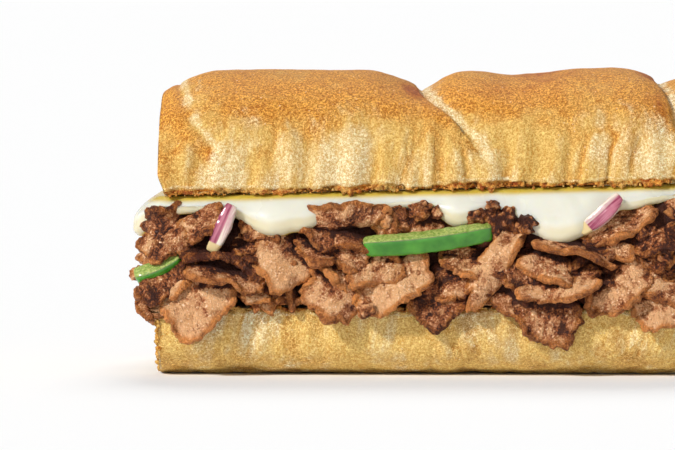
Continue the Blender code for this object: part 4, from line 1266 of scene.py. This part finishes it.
def cheese(material):
    """Melted cheese: a sheet flat inside its outline that bends over the heap and hangs, splayed
    outwards, as far as its drips say. It swells towards its rounded rim, and ripples."""
    points, normals = plan_outline(CHEESE_AROUND, rounding=18)
    points = points - normals * CHEESE_INSET
    near_end = smooth((CUT_END + 0.022 - points[:, 0]) / 0.018)
    points[:, 0] -= near_end * CHEESE_OVERHANG
    spots = np.c_[points, 0 * points[:, 0]]
    hang = cheese_hang(points) + 0.0006 * fractal(spots, 0.005, 61, 2)
    hang = np.maximum(hang, 0.0004)
    swell = np.minimum(drip_share(points)[0] + smooth((CUT_END + 0.012 - points[:, 0]) / 0.012), 1)
    turn_out = np.pi / 2 - CHEESE_SPLAY
    bend = CHEESE_BEND * turn_out
    inner = [(-1.0, 1), (-0.7, 1), (-0.4, 1), (-0.15, 1), (0.0, 1)]
    bent = [(share, 1) for share in np.linspace(0.12, 1.0, 8)]
    hung = [(1 + share, 1 + 0.35 * smooth(share)) for share in np.linspace(0.1, 1.0, 9)]
    rim = [(2.0, np.cos(turn) * 1.35, np.sin(turn) * 1.35) for turn in np.radians((25, 50, 75))]
    side_rings = [(share, thick, 0.0) for share, thick in inner + bent + hung] + rim
    order = side_rings + [(2.0, 0.0, 1.35)]
    order += [(share, -thick, tip) for share, thick, tip in side_rings[::-1]]
    rings, thin = [], []
    for share, thick, tip in order:
        run = bend * min(max(share, 0), 1) + max(share - 1, 0) * (hang - CHEESE_THICKNESS * 0.6)
        run = np.maximum(run, bend * min(max(share, 0), 1))
        angle = np.minimum(run / CHEESE_BEND, turn_out)
        rest = np.maximum(run - bend, 0)
        hung_share = smooth(share - 0.6)
        half = CHEESE_THICKNESS / 2 * (1 + CHEESE_SWELL * swell * hung_share)
        past = tip * half
        out = (CHEESE_BEND + thick * half) * np.sin(angle) + (rest + past) * np.sin(CHEESE_SPLAY)
        down = CHEESE_BEND * (1 - np.cos(angle)) + (rest + past) * np.cos(CHEESE_SPLAY)
        up = thick * half * np.cos(angle) - down
        out = out + DRIP_BULGE * swell * np.sin(np.pi * np.clip((share - 0.5) / 1.6, 0, 1))
        place = points * (1 - max(-share, 0) * np.array([0.55, 0.98])) + normals * out[:, None]
        rings.append(np.c_[place, upper_cut(place[:, 0]) - CHEESE_BELOW + CHEESE_RAISE + up])
        # painted shade: yellower along the bend just under the upper bun, which shades it; the
        # inner face and the rim's tip take a fixed share, and the rim its own yellowing
        shaded = smooth((0.97 - share) / 0.55) if thick > 0 else 0.6
        rimmed = smooth((share - 1.55) / 0.45)
        thin.append(np.full(len(points), 0.05 + 0.95 * shaded + 0.40 * rimmed))
    rings = np.array(rings)
    outward = np.concatenate([normals, 0.3 * np.ones((len(normals), 1))], 1)
    rings = rings + outward * (fractal(rings, 0.008, 71, 2) * 0.0004)[..., None]
    values = {"thin": np.array(thin)}
    ring_piece("cheese_melt", rings, values, {}, material, "cheese", "cheese")


def strip_rings(length, width, thickness, bow, onion_strip, seed):
    """A cut strip in its own X and Y: a rounded four-sided section carried along a bowed line,
    with rounded ends. Returns the rings, the turn round the section and the share along."""
    count, around = STRIP_GRID
    along = np.linspace(-1, 1, count)[:, None]
    arc = np.linspace(0, 2 * np.pi, around, endpoint=False)[None]
    taper = 1 - (0.35 if onion_strip else 0.0) * along**2
    blunt = 40 if onion_strip else 14
    ends = (1 - np.abs(along) ** blunt) ** 0.5 * 0.5 + 0.5
    ends[[0, -1]] = 0.4
    line = np.stack([along * length, 0 * along, 0 * along], -1)
    swell = taper * ends * (1 + 0.05 * fractal(line, 0.004, seed, 2))
    x = along * length / 2 + 0 * arc
    y = signed_power(np.cos(arc), 0.42) * width / 2 * swell + bow * (along**2 - 0.33)
    z = signed_power(np.sin(arc), 0.42) * thickness / 2 * swell
    z = z - (0.6 * MM if onion_strip else 0.0) * along**2
    rings = np.stack([x, y, z], -1)
    middle = rings.mean(1, keepdims=True)
    caps = [middle[:1] + (rings[:1] - middle[:1]) * share for share in (0.1, 0.5, 0.8)]
    tails = [middle[-1:] + (rings[-1:] - middle[-1:]) * share for share in (0.8, 0.5, 0.1)]
    rings = np.concatenate(caps + [rings] + tails)
    return rings, arc, np.concatenate([[-1] * 3, along[:, 0], [1] * 3])[:, None]


def topping(row, material):
    """One pepper or onion strip. Pepper shows its flesh on the side that leans up and its skin
    below; onion shows its skin face outwards and its pale layers on the other sides."""
    name, from_end, side, height, out, length, width, thickness, roll, lean, bow = row
    onion_strip = name.startswith("onion")
    size = [value * MM for value in (length, width, thickness)]
    seed = int(from_end * 10) % 97
    rings, arc, along = strip_rings(*size, bow * MM, onion_strip, seed)
    centre, outward = at_side(from_end * MM, side, height * MM, out * MM)
    facing = np.sin(arc) + 0 * along
    upward = np.cos(arc) + 0 * along
    ended = (np.abs(along) >= 1) + 0 * arc
    if onion_strip:
        beside = upward if roll > STEEP else -upward
        purple = smooth((facing - 0.1) / 0.2) * smooth((beside + 0.12) / 0.08)
        flesh = np.maximum(1 - purple, ended)
        values = {"flesh": flesh, "tip": smooth((-along - 0.45) / 0.3) + 0 * arc}
    else:
        flesh = np.maximum(smooth((facing - np.abs(upward) + 0.1) / 0.15), ended)
        edge = np.exp(-(((facing - np.abs(upward)) / 0.12) ** 2)) * (facing > 0)
        values = {"flesh": flesh, "rim": edge * (1 - ended)}
    placed = laid(rings, centre, outward, np.radians(roll), np.radians(lean))
    relief = fractal(placed, 0.0022, seed, 3) * STRIP_RELIEF
    placed = placed + normals_of(placed) * relief[..., None]
    slot = "onion" if onion_strip else "pepper"
    ring_piece(name + "_strip", placed, values, {"own": rings}, material, slot, name)


def crumbs(material):
    """Loose toasted crumbs along the cut edges of both buns, set in with the upper one's tuck,
    and down the edges of the cut end of the lower one."""
    draw = np.random.default_rng(19)
    outline, normals = plan_outline(1200)
    shapes = []
    for number in range(EDGE_CRUMBS):
        spot = draw.integers(len(outline))
        upper = number % 2 == 0
        level = upper_cut(outline[spot, 0]) + 0.0002 if upper else LOWER_CUT - 0.0002
        centre = np.append(outline[spot] - normals[spot] * draw.uniform(0.0, 0.9) * MM,
                           level + draw.uniform(-0.3, 0.9) * MM * (1 if upper else -1))
        centre[0] += TUCK * smooth(1 - (centre[0] - CUT_END) / 0.012) * upper
        size = draw.uniform(0.35, 0.85) * MM
        shapes.append((centre, size, draw.uniform(0.0, 1.0)))
    for _ in range(END_CRUMBS):
        side = draw.choice((-1, 1))
        proud, inset = draw.uniform(-0.5, 0.3) * MM, draw.uniform(0, 3) * MM
        level = draw.uniform(0.8, 16) * MM
        reach = LOAF_WIDTH / 2 * (1 - (1 - level / LOWER_CUT) ** LOWER_POWER) ** (1 / LOWER_POWER)
        centre = np.array([CUT_END - proud, side * (reach - inset), level])
        shapes.append((centre, draw.uniform(0.6, 1.6) * MM, draw.uniform(0.0, 0.45)))
    solids = []
    for seed, (centre, size, burnt) in enumerate(shapes):
        rings = blob(centre, size, seed, CRUMB_GRID)
        count = rings.shape[0] * rings.shape[1] + 2
        solids.append((closed(rings), {"baked": np.full(count, 0.3 + burnt * 0.6),
                                       "pale": np.full(count, 0.3 * (1 - burnt)),
                                       "toast": np.full(count, burnt), "crumb": np.zeros(count)}))
    shape, values = joined(solids)
    piece("crumbs", shape, values, {"fold": shape[0]}, material, "crust")


def floor_and_light():
    """A pale floor under a pale surround, white at the level of the eye and softer overhead, with a
    sun from the upper left, a weak, wide one from high at the back and a faint one from the front.
    Each sun has its name, the way its light travels, its power and how many degrees wide it is."""
    floor = bpy.data.meshes.new("floor")
    reach = 30.0
    corners = [(-reach, -reach, 0), (reach, -reach, 0), (reach, reach, 0), (-reach, reach, 0)]
    floor.from_pydata(corners, [], [(0, 1, 2, 3)])
    look = Finish("floor", 0.0)
    floor.materials.append(look.done((0.92, 0.92, 0.92), 0.9))
    ground = new_object("floor", floor)
    ground.location.z = -0.0002
    ground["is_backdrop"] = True
    world = bpy.data.worlds.new("surround")
    world.use_nodes = True
    tree = world.node_tree
    split = tree.nodes.new("ShaderNodeSeparateXYZ")
    ramp = tree.nodes.new("ShaderNodeValToRGB")
    Finish.set_stops(ramp.color_ramp, [(0.08, 0.75), (0.28, SKY)])
    direction = tree.nodes.new("ShaderNodeTexCoord")
    tree.links.new(direction.outputs["Generated"], split.inputs[0])
    tree.links.new(split.outputs["Z"], ramp.inputs[0])
    tree.links.new(ramp.outputs[0], tree.nodes["Background"].inputs["Color"])
    bpy.context.scene.world = world
    for name, direction, power, width in SUNS:
        sun = bpy.data.lights.new(name, "SUN")
        sun.energy = power
        sun.angle = np.radians(width)
        made = new_object(name, sun)
        made.rotation_euler = facing(-np.array(direction), np.zeros(3))


def facing(place, target):
    """Euler turn that points an object's -Z axis from a place to a target, with +Y upwards."""
    away = target - place
    flat = np.hypot(away[0], away[1])
    return np.arctan2(flat, -away[2]), 0.0, np.arctan2(-away[0], away[1])


def camera():
    """The camera, its own distance back from its aim along the line of sight."""
    yaw, rise = np.radians((CAMERA_YAW, CAMERA_RISE))
    view = np.array([np.sin(yaw) * np.cos(rise), np.cos(yaw) * np.cos(rise), -np.sin(rise)])
    place = np.array(AIM) - view * CAMERA_DISTANCE
    lens = bpy.data.cameras.new("camera")
    lens.lens = LENS
    made = new_object("camera", lens)
    made.location = place
    made.rotation_euler = facing(place, np.array(AIM))
    bpy.context.scene.camera = made


def main():
    """Makes the stage, the materials and then every piece."""
    camera()
    floor_and_light()
    bpy.context.scene.view_settings.view_transform = "Standard"
    loaf = bread("crust", (0.82, 0.53, 0.135), (0.95, 0.75, 0.36), (0.82, 0.36, 0.042), 0.0)
    base = bread("pale crust", (0.96, 0.66, 0.19), (0.95, 0.80, 0.43), (0.86, 0.46, 0.085), 0.65)
    meat = beef()
    upper_bun(loaf)
    lower_bun(base)
    crumbs(loaf)
    cheese(melted_cheese())
    beef_core(meat)
    rows = list(heap_rows())
    front = len(FRONT_SLICES)
    share = front // FRONT_PIECES
    groups = {}
    for number in range(FRONT_PIECES):
        taken = rows[number * share:(number + 1) * share]
        groups[f"beef_front_{number + 1}"] = slices(taken, FRONT_GRID)
    rear = front + sum(count for _, count in RULED_ROWS[0][0])
    groups["beef_rear"] = slices(rows[front:rear], REAR_GRID)
    groups["beef_between"] = slices(rows[rear:], REAR_GRID)
    groups["beef_shreds"] = slices(shred_rows(), SHRED_GRID)
    groups["beef_lumps"] = lumps()
    beef_pieces(groups, meat)
    green, red = pepper(), onion()
    for row in TOPPINGS:
        topping(row, red if row[0].startswith("onion") else green)


main()

boxes = {"cad": CAD_BOX, "visual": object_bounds()}
plain = {key: [[float(v) for v in corner] for corner in box] for key, box in boxes.items()}
